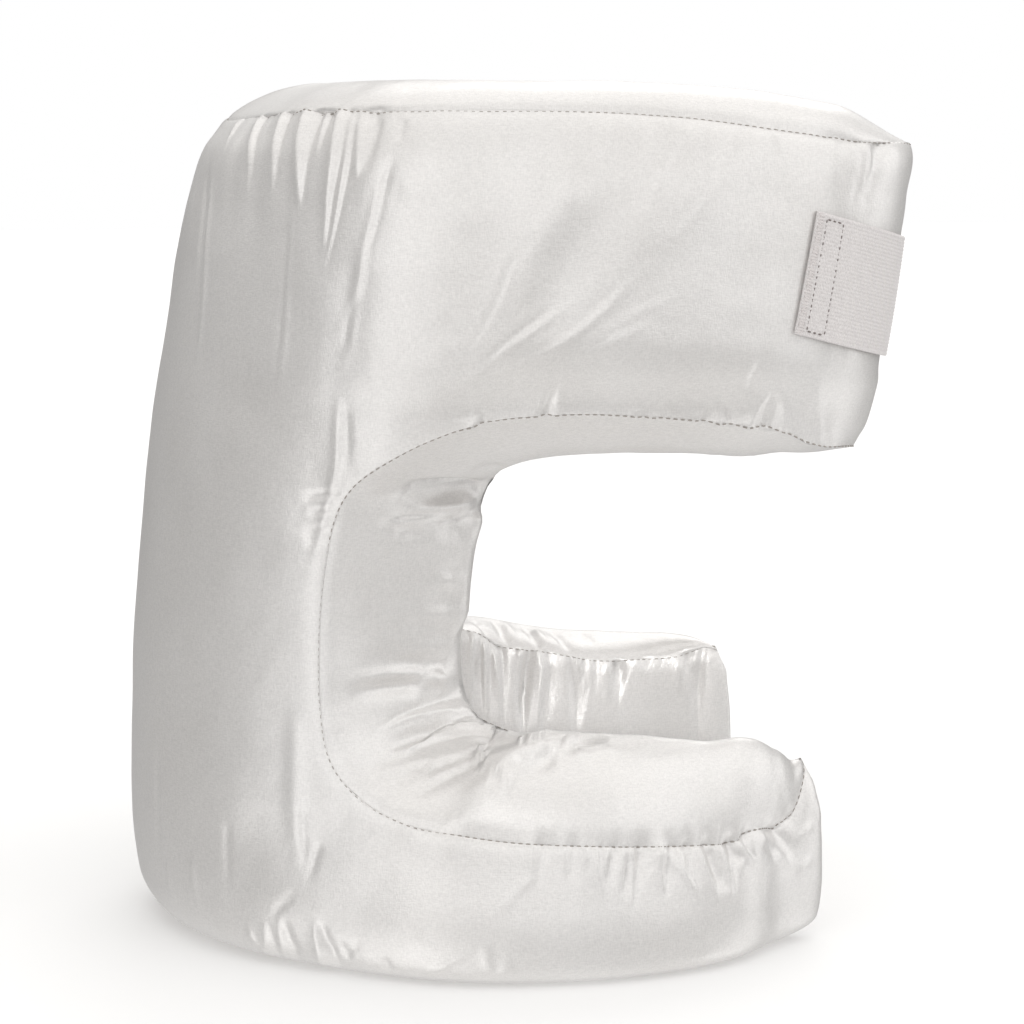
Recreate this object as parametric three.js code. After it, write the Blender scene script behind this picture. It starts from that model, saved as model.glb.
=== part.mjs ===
// Head and neck pillow in moulded memory foam with a sewn satin cover.
// Millimetres. X points forward to the open side, Y to the wearer's left, Z up.
// Seen from above the wall is a horseshoe. Seen from the side it is a letter C: a full height
// back, an arm on each side of the head and a collar lobe on each side of the neck.
import * as THREE from 'three';

const { degToRad, lerp, smoothstep } = THREE.MathUtils;

// The wall's outer side, as polar radii from the middle of the cavity. The angle is measured
// from straight ahead. The collar column holds low down, the arm column high up.
const OUTER_PLAN = [
  { angle: 36, collar: 138, arm: 176 },
  { angle: 40, collar: 142, arm: 176.5 },
  { angle: 44, collar: 145, arm: 174 },
  { angle: 50, collar: 148, arm: 167 },
  { angle: 57, collar: 150, arm: 158 },
  { angle: 65, collar: 150, arm: 150 },
  { angle: 75, collar: 149.5, arm: 144 },
  { angle: 90, collar: 149, arm: 141 },
  { angle: 105, collar: 149, arm: 142 },
  { angle: 120, collar: 149.5, arm: 144 },
  { angle: 135, collar: 153, arm: 145 },
  { angle: 150, collar: 161, arm: 146 },
  { angle: 165, collar: 168, arm: 147 },
  { angle: 180, collar: 171, arm: 148 },
];
const COLLAR_TOP = 80;
const ARM_FOOT = 235;
const MEAN_RADIUS = 145;

// The origin is under the middle of the whole length, this far from the middle of the cavity.
const LENGTH_MIDDLE_X = -9.05;

// How far the middle of the back stands from the cavity's middle at each height.
const BACK_PROFILE = [
  { z: 0, radius: 151 },
  { z: 3, radius: 157.5 },
  { z: 11, radius: 165 },
  { z: 24, radius: 169 },
  { z: 48, radius: 171 },
  { z: 95, radius: 170.5 },
  { z: 140, radius: 167 },
  { z: 190, radius: 162.5 },
  { z: 230, radius: 157.5 },
  { z: 262, radius: 152 },
  { z: 297, radius: 145.5 },
  { z: 323, radius: 139.5 },
  { z: 337, radius: 134 },
  { z: 346, radius: 127 },
  { z: 352, radius: 121 },
];

// How far the sides draw in towards their seams at each height.
const SIDE_PROFILE = [
  { z: 0, inset: 11 },
  { z: 3, inset: 5 },
  { z: 9, inset: 1.5 },
  { z: 25, inset: 0 },
  { z: 57, inset: 3.5 },
  { z: 110, inset: 2 },
  { z: 170, inset: 1 },
  { z: 230, inset: 3 },
  { z: 250, inset: 0 },
  { z: 300, inset: 0 },
  { z: 325, inset: 1.5 },
  { z: 340, inset: 4.5 },
  { z: 354, inset: 9.5 },
];

// The cavity for neck and head: its half width, and how far back it reaches.
const CAVITY = {
  collarHalfWidth: 85,
  armHalfWidth: 78,
  collarBack: 86,
  armBack: 67,
};

// The seam round the side opening on the outer cover, from the lobe's tip round the back of
// the opening to the arm's front end.
const OUTER_OPENING = [
  { x: 97, z: 64 },
  { x: 80, z: 60 },
  { x: 60, z: 57.5 },
  { x: 37, z: 56 },
  { x: 7, z: 58 },
  { x: -23, z: 61 },
  { x: -46, z: 66 },
  { x: -64, z: 72 },
  { x: -78, z: 82 },
  { x: -88, z: 95 },
  { x: -92, z: 115 },
  { x: -93, z: 140 },
  { x: -91, z: 168 },
  { x: -87, z: 192 },
  { x: -82, z: 208 },
  { x: -72, z: 219 },
  { x: -54, z: 227 },
  { x: -30, z: 232 },
  { x: 2, z: 234 },
  { x: 42, z: 232 },
  { x: 74, z: 228 },
  { x: 90, z: 225 },
  { x: 100, z: 222.5 },
];
const OUTER_CORNERS = { lower: 8, upper: 14 };

// The same seam on the cavity's side. The opening narrows inwards like a funnel.
const INNER_OPENING = [
  { x: 105, z: 84 },
  { x: 84, z: 84 },
  { x: 44, z: 85 },
  { x: 6, z: 90 },
  { x: -15, z: 95 },
  { x: -27, z: 101 },
  { x: -32, z: 112 },
  { x: -33, z: 130 },
  { x: -31, z: 155 },
  { x: -26, z: 182 },
  { x: -19, z: 200 },
  { x: -7, z: 209 },
  { x: 18, z: 215 },
  { x: 54, z: 217 },
  { x: 85, z: 214 },
  { x: 110, z: 210 },
];
const INNER_CORNERS = { lower: 5, upper: 10 };

// Height of the top seam along the arm. It droops towards the front.
// The strip above it swells by the rise.
const TOP_SEAM = [
  { x: -130, z: 346, rise: 15 },
  { x: -115, z: 349, rise: 14.5 },
  { x: -100, z: 351, rise: 13.5 },
  { x: -70, z: 353, rise: 12.5 },
  { x: 0, z: 354, rise: 12 },
  { x: 52, z: 352, rise: 13 },
  { x: 87, z: 347.5, rise: 15 },
  { x: 112, z: 343.5, rise: 14.5 },
  { x: 134, z: 340, rise: 14 },
];
const INNER_TOP_DROP = 3;
const ARM_END = { outerX: 123, innerX: 128, footX: 100, blend: 14, cornerRise: 5 };
const LOBE_END = { outerX: 97, blend: 6 };

// How far the boxing strips swell between their two seams.
const SWELL = { armUnderside: 9, openingBack: 5, lobeTop: 26 };

// How far the rounded front ends of arm and lobe reach past their seams. They leave the outer
// side turned forwards and the cavity turned inwards, and the strips follow them for the blend.
const REACH = {
  forwards: 0.5,
  inwards: 0.2,
  armSeam: 40,
  armMiddle: 42,
  lobeFoot: 9,
  lobeSeam: 18,
  lobeMiddle: 27.5,
  blend: 30,
};
const SEAM_CHANNEL = { depth: 2.5, width: 8 };

// The main folds of the cover, as soft troughs between two points of the outer side.
const FOLDS = [
  { fromAngle: 158, fromZ: 350, toAngle: 155, toZ: 305, depth: 3, width: 6 },
  { fromAngle: 150, fromZ: 350, toAngle: 146, toZ: 290, depth: 4, width: 6 },
  { fromAngle: 141, fromZ: 351, toAngle: 138, toZ: 275, depth: 4, width: 6 },
  { fromAngle: 133, fromZ: 352, toAngle: 131, toZ: 285, depth: 4, width: 6 },
  { fromAngle: 125, fromZ: 352, toAngle: 127, toZ: 290, depth: 3, width: 6 },
  { fromAngle: 116, fromZ: 352, toAngle: 125, toZ: 285, depth: 3, width: 8 },
  { fromAngle: 125, fromZ: 285, toAngle: 130, toZ: 215, depth: 4, width: 9 },
  { fromAngle: 131, fromZ: 212, toAngle: 135, toZ: 150, depth: 2.5, width: 9 },
  { fromAngle: 96, fromZ: 318, toAngle: 108, toZ: 256, depth: 2.5, width: 9 },
  { fromAngle: 74, fromZ: 340, toAngle: 100, toZ: 262, depth: 2.5, width: 11 },
  { fromAngle: 60, fromZ: 322, toAngle: 92, toZ: 250, depth: 2.5, width: 11 },
  { fromAngle: 66, fromZ: 228, toAngle: 61, toZ: 250, depth: 2.5, width: 8 },
  { fromAngle: 122, fromZ: 76, toAngle: 138, toZ: 40, depth: 3, width: 9 },
  { fromAngle: 114, fromZ: 64, toAngle: 128, toZ: 18, depth: 3, width: 9 },
  { fromAngle: 92, fromZ: 60, toAngle: 90, toZ: 28, depth: 2.5, width: 8 },
  { fromAngle: 82, fromZ: 58, toAngle: 80, toZ: 30, depth: 2.5, width: 8 },
  { fromAngle: 64, fromZ: 60, toAngle: 62, toZ: 24, depth: 3, width: 8 },
  { fromAngle: 141, fromZ: 62, toAngle: 149, toZ: 8, depth: 2.5, width: 9 },
];

// Where the wall's three patches meet, as turns from the opening's corners.
const TOP_SPLIT_TURN = -6;
const FOOT_SPLIT_TURN = 3;

// Mesh density: columns round the wall and rows up it. Across the strips each step has its
// share of the swell, which leans outwards on the lobe.
const BACK_COLUMNS = 18;
const SIDE_COLUMNS = 21;
const LOW_ROWS = [0, 0.06, 0.18, 0.4, 0.7, 0.9, 1];
const MIDDLE_ROWS = evenSteps(11);
const HIGH_ROWS = [0, 0.05, 0.14, 0.26, 0.39, 0.52, 0.65, 0.77, 0.87, 0.95, 1];
const ACROSS = [
  { part: 0, even: 0, lobe: 0 },
  { part: 0.08, even: 0.37, lobe: 0.47 },
  { part: 0.2, even: 0.72, lobe: 0.79 },
  { part: 0.36, even: 0.95, lobe: 0.96 },
  { part: 0.5, even: 1, lobe: 0.97 },
  { part: 0.64, even: 0.95, lobe: 0.76 },
  { part: 0.8, even: 0.72, lobe: 0.48 },
  { part: 0.92, even: 0.37, lobe: 0.22 },
  { part: 1, even: 0, lobe: 0 },
];

// The elastic strap that joins the two arm ends across the front opening. It lies in a plane
// that tilts forwards by the tilt and passes the arm's front at the front X and Z.
const STRAP = {
  width: 50,
  thickness: 1.6,
  clearance: 0.9,
  startX: 98,
  frontX: 145,
  frontZ: 278,
  tilt: 13,
  rows: 5,
  wallSteps: 6,
  endSteps: 9,
  leavesAt: 0.6,
  spanSteps: 3,
};

function evenSteps(count) {
  return Array.from({ length: count + 1 }, (_, index) => index / count);
}

// Reads a table's column at a value of its key, with a smooth curve through the rows.
function readTable(rows, key, at, column) {
  const last = rows.length - 1;
  const side = (index) => Math.min(Math.max(index, 0), last);
  let low = 0;
  while (low < last - 1 && rows[low + 1][key] < at) low += 1;
  const span = rows[low + 1][key] - rows[low][key];
  const part = Math.min(Math.max((at - rows[low][key]) / span, 0), 1);
  const slope = (index) => {
    const before = rows[side(index - 1)];
    const after = rows[side(index + 1)];
    return (after[column] - before[column]) / (after[key] - before[key]);
  };
  const start = rows[low][column];
  const end = rows[low + 1][column];
  const square = part * part;
  const cube = square * part;
  return start * (2 * cube - 3 * square + 1) + end * (3 * square - 2 * cube)
    + span * (slope(low) * (cube - 2 * square + part) + slope(low + 1) * (cube - square));
}

function outerRadius(angle, z) {
  const level = smoothstep(z, COLLAR_TOP, ARM_FOOT);
  const collar = readTable(OUTER_PLAN, 'angle', angle, 'collar');
  const arm = readTable(OUTER_PLAN, 'angle', angle, 'arm');
  const middleOfBack = OUTER_PLAN[OUTER_PLAN.length - 1];
  const backShift = readTable(BACK_PROFILE, 'z', z, 'radius')
    - lerp(middleOfBack.collar, middleOfBack.arm, level);
  const sideShift = -readTable(SIDE_PROFILE, 'z', z, 'inset');
  const backness = smoothstep(angle, 100, 175);
  return lerp(collar, arm, level) + lerp(sideShift, backShift, backness);
}

function innerRadius(angle, z) {
  const level = smoothstep(z, COLLAR_TOP, ARM_FOOT);
  const halfWidth = lerp(CAVITY.collarHalfWidth, CAVITY.armHalfWidth, level);
  const back = lerp(CAVITY.collarBack, CAVITY.armBack, level);
  const sine = Math.sin(degToRad(angle));
  const cosine = Math.cos(degToRad(angle));
  if (angle <= 90) return halfWidth / sine;
  return 1 / Math.hypot(cosine / back, sine / halfWidth);
}

// A point of the near side, which has negative Y, from a radius function.
function onWall(radius, angle, z) {
  const reach = radius(angle, z);
  const turn = degToRad(angle);
  return new THREE.Vector3(reach * Math.cos(turn), -reach * Math.sin(turn), z);
}

// The angle at which a wall crosses a given X at a given height.
function angleAtX(radius, x, z) {
  let front = 20;
  let back = 180;
  for (let step = 0; step < 40; step += 1) {
    const middle = (front + back) / 2;
    if (onWall(radius, middle, z).x > x) front = middle;
    else back = middle;
  }
  return (front + back) / 2;
}

// The wall's normal, pointing away from the cavity.
function wallNormal(radius, angle, z) {
  const along = onWall(radius, angle + 0.5, z).sub(onWall(radius, angle - 0.5, z));
  const up = onWall(radius, angle, z + 1).sub(onWall(radius, angle, Math.max(z - 1, 0)));
  return up.cross(along).normalize();
}

// Splits an opening's outline into lobe seam, back edge and arm seam, as wall coordinates.
function openingEdges(outline, radius, lowerCorner, upperCorner) {
  const curve = (rows) => {
    const points = rows.map((row) => new THREE.Vector3(row.x, row.z, 0));
    return new THREE.CatmullRomCurve3(points, false, 'centripetal');
  };
  const whole = curve(outline);
  const last = outline.length - 1;
  const stretch = (from, to, steps) => steps.map((part) => {
    const at = whole.getPoint(lerp(from, to, part) / last);
    return { angle: angleAtX(radius, at.x, at.y), z: at.y };
  });
  return {
    lobe: stretch(lowerCorner, 0, evenSteps(SIDE_COLUMNS)),
    back: stretch(lowerCorner, upperCorner, MIDDLE_ROWS),
    arm: stretch(upperCorner, last, evenSteps(SIDE_COLUMNS)),
  };
}

function straight(from, to, steps) {
  return steps.map((part) => ({
    angle: lerp(from.angle, to.angle, part),
    z: lerp(from.z, to.z, part),
  }));
}

// Fills a four-sided patch of wall coordinates between its edges: grid[column][row].
function fillPatch(bottom, top, left, right) {
  const columns = bottom.length - 1;
  const rows = left.length - 1;
  return bottom.map((foot, column) => left.map((start, row) => {
    const across = column / columns;
    const height = left[rows].z - left[0].z;
    const up = (start.z - left[0].z) / height;
    const head = top[column];
    const end = right[row];
    const blend = (name) => lerp(foot[name], head[name], up) + lerp(start[name], end[name], across)
      - lerp(lerp(bottom[0][name], bottom[columns][name], across),
        lerp(top[0][name], top[columns][name], across), up);
    return { angle: blend('angle'), z: blend('z') };
  }));
}

const OUTER_SIDE = {
  radius: outerRadius,
  outline: OUTER_OPENING,
  corners: OUTER_CORNERS,
  topDrop: 0,
  armEndX: ARM_END.outerX,
};
const CAVITY_SIDE = {
  radius: innerRadius,
  outline: INNER_OPENING,
  corners: INNER_CORNERS,
  topDrop: INNER_TOP_DROP,
  armEndX: ARM_END.innerX,
};

// One side of the wall as three patches that share edges: back, arm and lobe.
function layOutWall({ radius, outline, corners, topDrop, armEndX }) {
  const edges = openingEdges(outline, radius, corners.lower, corners.upper);
  const seamZ = (x) => readTable(TOP_SEAM, 'x', x, 'z') - topDrop;
  const onTopSeam = (angle) => {
    const x = onWall(radius, angle, seamZ(0)).x;
    return { angle, z: seamZ(x) };
  };
  const lowerCorner = edges.back[0];
  const upperCorner = edges.back[edges.back.length - 1];
  const armFront = edges.arm[edges.arm.length - 1];
  const lobeFront = edges.lobe[edges.lobe.length - 1];
  const topFrontAngle = angleAtX(radius, armEndX, seamZ(armEndX));
  const topSplitAngle = upperCorner.angle + TOP_SPLIT_TURN;
  const backTop = straight({ angle: 180, z: 0 }, { angle: topSplitAngle, z: 0 }, evenSteps(BACK_COLUMNS));
  const armTop = straight(
    { angle: topSplitAngle, z: 0 },
    { angle: topFrontAngle, z: 0 },
    evenSteps(SIDE_COLUMNS),
  );
  const foot = { angle: lowerCorner.angle + FOOT_SPLIT_TURN, z: 0 };
  const lobeFootFront = { angle: lobeFront.angle, z: 0 };
  const backTopSeam = backTop.map((at) => onTopSeam(at.angle));
  const armTopSeam = armTop.map((at) => onTopSeam(at.angle));
  const split = backTopSeam[BACK_COLUMNS];
  const lowerRib = straight(foot, lowerCorner, LOW_ROWS);
  const upperRib = straight(upperCorner, split, HIGH_ROWS);
  const rightOfBack = [...lowerRib, ...edges.back.slice(1), ...upperRib.slice(1)];
  const spineTop = backTopSeam[0].z;
  const leftOfBack = rightOfBack.map((at) => ({ angle: 180, z: (at.z / split.z) * spineTop }));
  const backFoot = straight({ angle: 180, z: 0 }, foot, evenSteps(BACK_COLUMNS));
  const armEnd = straight(armFront, armTopSeam[SIDE_COLUMNS], HIGH_ROWS);
  const lobeFoot = straight(foot, lobeFootFront, evenSteps(SIDE_COLUMNS));
  const lobeEnd = straight(lobeFootFront, lobeFront, LOW_ROWS);
  return {
    back: fillPatch(backFoot, backTopSeam, leftOfBack, rightOfBack),
    arm: fillPatch(edges.arm, armTopSeam, upperRib, armEnd),
    lobe: fillPatch(lobeFoot, edges.lobe, lowerRib, lobeEnd),
  };
}

// The places round the rim of a laid out wall, in order: top seam forwards, arm end down,
// arm seam back, opening's back down, lobe seam forwards, lobe end down, foot back.
function walkRim() {
  const lowRow = LOW_ROWS.length - 1;
  const highRow = HIGH_ROWS.length - 1;
  const cornerRow = lowRow + MIDDLE_ROWS.length - 1;
  const topRow = cornerRow + highRow;
  const rim = [];
  const walk = (stretch, patch, count, place) => {
    for (let step = 0; step <= count; step += 1) {
      const previous = rim[rim.length - 1];
      const joins = step === 0 && previous !== undefined;
      if (!joins) rim.push({ stretch, patch, along: step / count, ...place(step) });
    }
  };
  walk('top', 'back', BACK_COLUMNS, (step) => ({ column: step, row: topRow }));
  walk('top', 'arm', SIDE_COLUMNS, (step) => ({ column: step, row: highRow }));
  walk('armEnd', 'arm', highRow, (step) => ({ column: SIDE_COLUMNS, row: highRow - step }));
  walk('underside', 'arm', SIDE_COLUMNS, (step) => ({ column: SIDE_COLUMNS - step, row: 0 }));
  const openingRows = cornerRow - lowRow;
  walk('openingBack', 'back', openingRows, (step) => ({ column: BACK_COLUMNS, row: cornerRow - step }));
  walk('lobeTop', 'lobe', SIDE_COLUMNS, (step) => ({ column: step, row: lowRow }));
  walk('lobeEnd', 'lobe', lowRow, (step) => ({ column: SIDE_COLUMNS, row: lowRow - step }));
  walk('foot', 'lobe', SIDE_COLUMNS, (step) => ({ column: SIDE_COLUMNS - step, row: 0 }));
  walk('foot', 'back', BACK_COLUMNS, (step) => ({ column: BACK_COLUMNS - step, row: 0 }));
  return rim;
}

function foldDepth(angle, z) {
  const perDegree = degToRad(MEAN_RADIUS);
  return FOLDS.reduce((total, fold) => {
    const alongX = (fold.toAngle - fold.fromAngle) * perDegree;
    const alongZ = fold.toZ - fold.fromZ;
    const x = (angle - fold.fromAngle) * perDegree;
    const height = z - fold.fromZ;
    const part = (x * alongX + height * alongZ) / (alongX ** 2 + alongZ ** 2);
    const held = Math.min(Math.max(part, 0), 1);
    const distance = Math.hypot(x - held * alongX, height - held * alongZ);
    return total + fold.depth * (1 - held ** 2) * Math.exp(-((distance / fold.width) ** 2));
  }, 0);
}

// Turns a laid out wall into points. The cover is drawn in at its seams, and the outer side is
// creased by the folds. An outward factor of 1 means the outer side, -1 the cavity's side.
function shapeWall(layout, radius, outward, rim, sewn) {
  const seam = rim.filter((place) => sewn.includes(place.stretch)).map((place) => {
    const at = layout[place.patch][place.column][place.row];
    return onWall(radius, at.angle, at.z);
  });
  const shape = (at) => {
    const point = onWall(radius, at.angle, at.z);
    const distance = Math.min(...seam.map((other) => other.distanceTo(point)));
    const channel = SEAM_CHANNEL.depth * Math.exp(-((distance / SEAM_CHANNEL.width) ** 2));
    const fold = outward > 0 ? foldDepth(at.angle, at.z) : 0;
    const offFloor = smoothstep(at.z, 2, 14);
    const normal = wallNormal(radius, at.angle, at.z);
    if (at.angle > 179.9) normal.setY(0);
    return point.addScaledVector(normal, -outward * offFloor * (channel + fold));
  };
  const patches = Object.entries(layout).map(([name, grid]) => [
    name, grid.map((column) => column.map(shape)),
  ]);
  return Object.fromEntries(patches);
}

// How far each place of the rim swells between its two seams, as a vector.
function swellOf(place, outer, inner) {
  const before = (endX, blend) => 1 - smoothstep(outer.x, endX - blend, endX);
  if (place.stretch === 'top') {
    const rise = readTable(TOP_SEAM, 'x', outer.x, 'rise');
    const share = before(ARM_END.outerX, ARM_END.blend);
    return new THREE.Vector3(0, 0, lerp(ARM_END.cornerRise, rise, share));
  }
  if (place.stretch === 'armEnd') {
    return new THREE.Vector3(0, 0, ARM_END.cornerRise * (1 - smoothstep(place.along, 0, 0.3)));
  }
  if (place.stretch === 'underside') {
    return new THREE.Vector3(0, 0, -SWELL.armUnderside * before(ARM_END.footX, ARM_END.blend));
  }
  if (place.stretch === 'lobeTop') {
    return new THREE.Vector3(0, 0, SWELL.lobeTop * before(LOBE_END.outerX, LOBE_END.blend));
  }
  if (place.stretch === 'openingBack') {
    const forwards = new THREE.Vector3(inner.y - outer.y, outer.x - inner.x, 0);
    return forwards.setLength(SWELL.openingBack);
  }
  return new THREE.Vector3();
}

// How far the rounded ends reach forward at a place of the rim, and how strongly the ribs
// there follow them.
function reachOf(place, outer) {
  const middle = 4 * place.along * (1 - place.along);
  const near = (endX) => Math.max(0, 1 - (endX - outer.x) / REACH.blend) ** 2;
  if (place.stretch === 'armEnd') {
    return { reach: lerp(REACH.armSeam, REACH.armMiddle, middle), share: 1 };
  }
  if (place.stretch === 'lobeEnd') {
    const offFloor = smoothstep(1 - place.along, 0, 0.25);
    const reach = lerp(REACH.lobeSeam, REACH.lobeMiddle, middle);
    return { reach: lerp(REACH.lobeFoot, reach, offFloor), share: 1 };
  }
  if (place.stretch === 'lobeTop') return { reach: REACH.lobeSeam, share: near(LOBE_END.outerX) };
  if (place.stretch === 'foot') return { reach: REACH.lobeFoot, share: near(LOBE_END.outerX) };
  if (place.stretch === 'top') return { reach: REACH.armSeam, share: near(ARM_END.outerX) };
  if (place.stretch === 'underside') return { reach: REACH.armSeam, share: near(ARM_END.footX) };
  return { reach: 0, share: 0 };
}

// A line from the outer to the inner wall. At the rounded ends it leaves the outer wall along
// that wall and comes back to the inner one from the front.
function ribCurve(outer, inner, { reach, share }) {
  const alongOuter = new THREE.Vector3(-outer.y, outer.x, 0).normalize();
  alongOuter.x += REACH.forwards;
  alongOuter.setLength(reach);
  const forwards = new THREE.Vector3(reach, reach * REACH.inwards, 0);
  const leave = outer.clone().lerp(inner, 1 / 3).lerp(outer.clone().add(alongOuter), share);
  const arrive = outer.clone().lerp(inner, 2 / 3).lerp(inner.clone().add(forwards), share);
  return new THREE.CubicBezierCurve3(outer, leave, arrive, inner);
}

// The boxing strips and rounded ends, as one band of ribs from the outer to the inner wall.
function shapeBand(rim, outerWall, innerWall) {
  const ends = rim.map((place) => ({
    outer: outerWall[place.patch][place.column][place.row],
    inner: innerWall[place.patch][place.column][place.row],
  }));
  let swells = rim.map((place, index) => swellOf(place, ends[index].outer, ends[index].inner));
  for (let pass = 0; pass < 3; pass += 1) {
    swells = swells.map((swell, index) => {
      const held = ['top', 'foot', 'lobeEnd', 'armEnd'].includes(rim[index].stretch);
      if (held) return swell;
      return swells[index - 1].clone().add(swells[index + 1]).add(swell).divideScalar(3);
    });
  }
  return rim.map((place, index) => {
    const { outer, inner } = ends[index];
    const curve = ribCurve(outer, inner, reachOf(place, outer));
    const profile = place.stretch === 'lobeTop' ? 'lobe' : 'even';
    return ACROSS.map((step) => {
      if (step.part === 0) return outer.clone();
      if (step.part === 1) return inner.clone();
      return curve.getPoint(step.part).addScaledVector(swells[index], step[profile]);
    });
  });
}

// Collects triangles with shared vertices, and adds each one's mirror image on the far side.
class MirroredMesh {
  constructor() {
    this.positions = [];
    this.triangles = [];
    this.known = new Map();
  }

  vertex(point, side) {
    const place = [point.x, side * point.y, point.z];
    const key = place.map((value) => Math.round(value * 1e4)).join(' ');
    if (!this.known.has(key)) {
      this.known.set(key, this.positions.length / 3);
      this.positions.push(...place);
    }
    return this.known.get(key);
  }

  triangle(a, b, c) {
    const near = [a, b, c].map((point) => this.vertex(point, 1));
    const far = [a, c, b].map((point) => this.vertex(point, -1));
    if (new Set(near).size === 3) this.triangles.push(...near, ...far);
  }

  quad(a, b, c, d) {
    if (a.distanceTo(c) <= b.distanceTo(d)) {
      this.triangle(a, b, c);
      this.triangle(a, c, d);
    } else {
      this.triangle(a, b, d);
      this.triangle(b, c, d);
    }
  }

  grid(lines, flipped = false) {
    for (let line = 0; line < lines.length - 1; line += 1) {
      for (let step = 0; step < lines[line].length - 1; step += 1) {
        const corners = [lines[line][step], lines[line + 1][step],
          lines[line + 1][step + 1], lines[line][step + 1]];
        if (flipped) corners.reverse();
        this.quad(...corners);
      }
    }
  }

  geometry() {
    const geometry = new THREE.BufferGeometry();
    geometry.setAttribute('position', new THREE.Float32BufferAttribute(this.positions, 3));
    geometry.setIndex(this.triangles);
    geometry.translate(-LENGTH_MIDDLE_X, 0, 0);
    geometry.computeVertexNormals();
    return geometry;
  }
}

function buildPillow() {
  const rim = walkRim();
  const openingSeams = ['top', 'underside', 'openingBack', 'lobeTop'];
  const outerWall = shapeWall(layOutWall(OUTER_SIDE), outerRadius, 1, rim, openingSeams);
  const cavitySeams = [...openingSeams, 'armEnd', 'lobeEnd'];
  const innerWall = shapeWall(layOutWall(CAVITY_SIDE), innerRadius, -1, rim, cavitySeams);
  const mesh = new MirroredMesh();
  Object.values(outerWall).forEach((grid) => mesh.grid(grid));
  Object.values(innerWall).forEach((grid) => mesh.grid(grid, true));
  mesh.grid(shapeBand(rim, outerWall, innerWall));
  return mesh.geometry();
}

// The rounded front end of the near arm: down its height from 0 to 1, and across it from the
// outer cover at 0 to the cavity at 1.
function armEndSurface() {
  const outer = layOutWall(OUTER_SIDE);
  const inner = layOutWall(CAVITY_SIDE);
  const edge = (layout, radius, down) => {
    const column = layout.arm[SIDE_COLUMNS];
    const [low, high] = [column[0], column[column.length - 1]];
    return onWall(radius, lerp(high.angle, low.angle, down), lerp(high.z, low.z, down));
  };
  return (down, across) => {
    const from = edge(outer, outerRadius, down);
    const to = edge(inner, innerRadius, down);
    const place = { stretch: 'armEnd', along: down };
    return ribCurve(from, to, reachOf(place, from)).getPoint(across);
  };
}

// One lengthwise line of the strap on the near side: along the arm's outer side, round its
// front end to where that points straight ahead, and on to the middle of the opening.
function strapLine(armEnd, offset) {
  const tilt = degToRad(STRAP.tilt);
  const heightAt = (x) => STRAP.frontZ
    + (offset - (x - STRAP.frontX) * Math.sin(tilt)) / Math.cos(tilt);
  const onArmEnd = (across) => {
    let top = 0;
    let foot = 1;
    for (let step = 0; step < 30; step += 1) {
      const middle = (top + foot) / 2;
      const point = armEnd(middle, across);
      if (point.z > heightAt(point.x)) top = middle;
      else foot = middle;
    }
    return armEnd((top + foot) / 2, across);
  };
  const edge = onArmEnd(0);
  const start = STRAP.startX + offset * Math.sin(tilt);
  const wall = evenSteps(STRAP.wallSteps).slice(0, -1).map((part) => {
    const x = lerp(start, edge.x, part);
    const z = heightAt(x);
    return onWall(outerRadius, angleAtX(outerRadius, x, z), z);
  });
  const end = evenSteps(STRAP.endSteps).map((part) => onArmEnd(part * STRAP.leavesAt));
  const front = end[end.length - 1];
  const span = evenSteps(STRAP.spanSteps).slice(1).map((part) => (
    new THREE.Vector3(front.x, lerp(front.y, 0, part), front.z)));
  return [...wall, ...end, ...span];
}

function buildStrap() {
  const armEnd = armEndSurface();
  const lines = evenSteps(STRAP.rows - 1).map((part) => strapLine(armEnd, (part - 0.5) * STRAP.width));
  const tilt = degToRad(STRAP.tilt);
  const acrossStrap = new THREE.Vector3(Math.sin(tilt), 0, Math.cos(tilt));
  const layer = (lift) => lines.map((line) => line.map((point, index) => {
    const before = line[Math.max(index - 1, 0)];
    const after = line[Math.min(index + 1, line.length - 1)];
    const normal = after.clone().sub(before).cross(acrossStrap).normalize();
    return point.clone().addScaledVector(normal, lift);
  }));
  const back = layer(STRAP.clearance);
  const face = layer(STRAP.clearance + STRAP.thickness);
  const last = lines.length - 1;
  const mesh = new MirroredMesh();
  mesh.grid(face, true);
  mesh.grid(back);
  mesh.grid([back[0], face[0]], true);
  mesh.grid([face[last], back[last]], true);
  mesh.grid([back.map((line) => line[0]), face.map((line) => line[0])]);
  return mesh.geometry();
}

const satin = new THREE.MeshStandardMaterial({ color: 0xe6e2df, roughness: 0.5, metalness: 0 });
const elastic = new THREE.MeshStandardMaterial({ color: 0xdcd6d5, roughness: 0.8, metalness: 0 });

const pillow = new THREE.Mesh(buildPillow(), satin);
pillow.name = 'pillow_body';

const strap = new THREE.Mesh(buildStrap(), elastic);
strap.name = 'elastic_strap';

const group = new THREE.Group();
group.add(pillow);
group.add(strap);

export default group;
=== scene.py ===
# Head and neck pillow of memory foam in a satin cover, dressed for the camera.
# Lengths are millimetres from the middle of the cavity until the meshes are made, in metres.
import math

import bpy
import numpy as np
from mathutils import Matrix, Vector, bvhtree, kdtree

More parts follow.
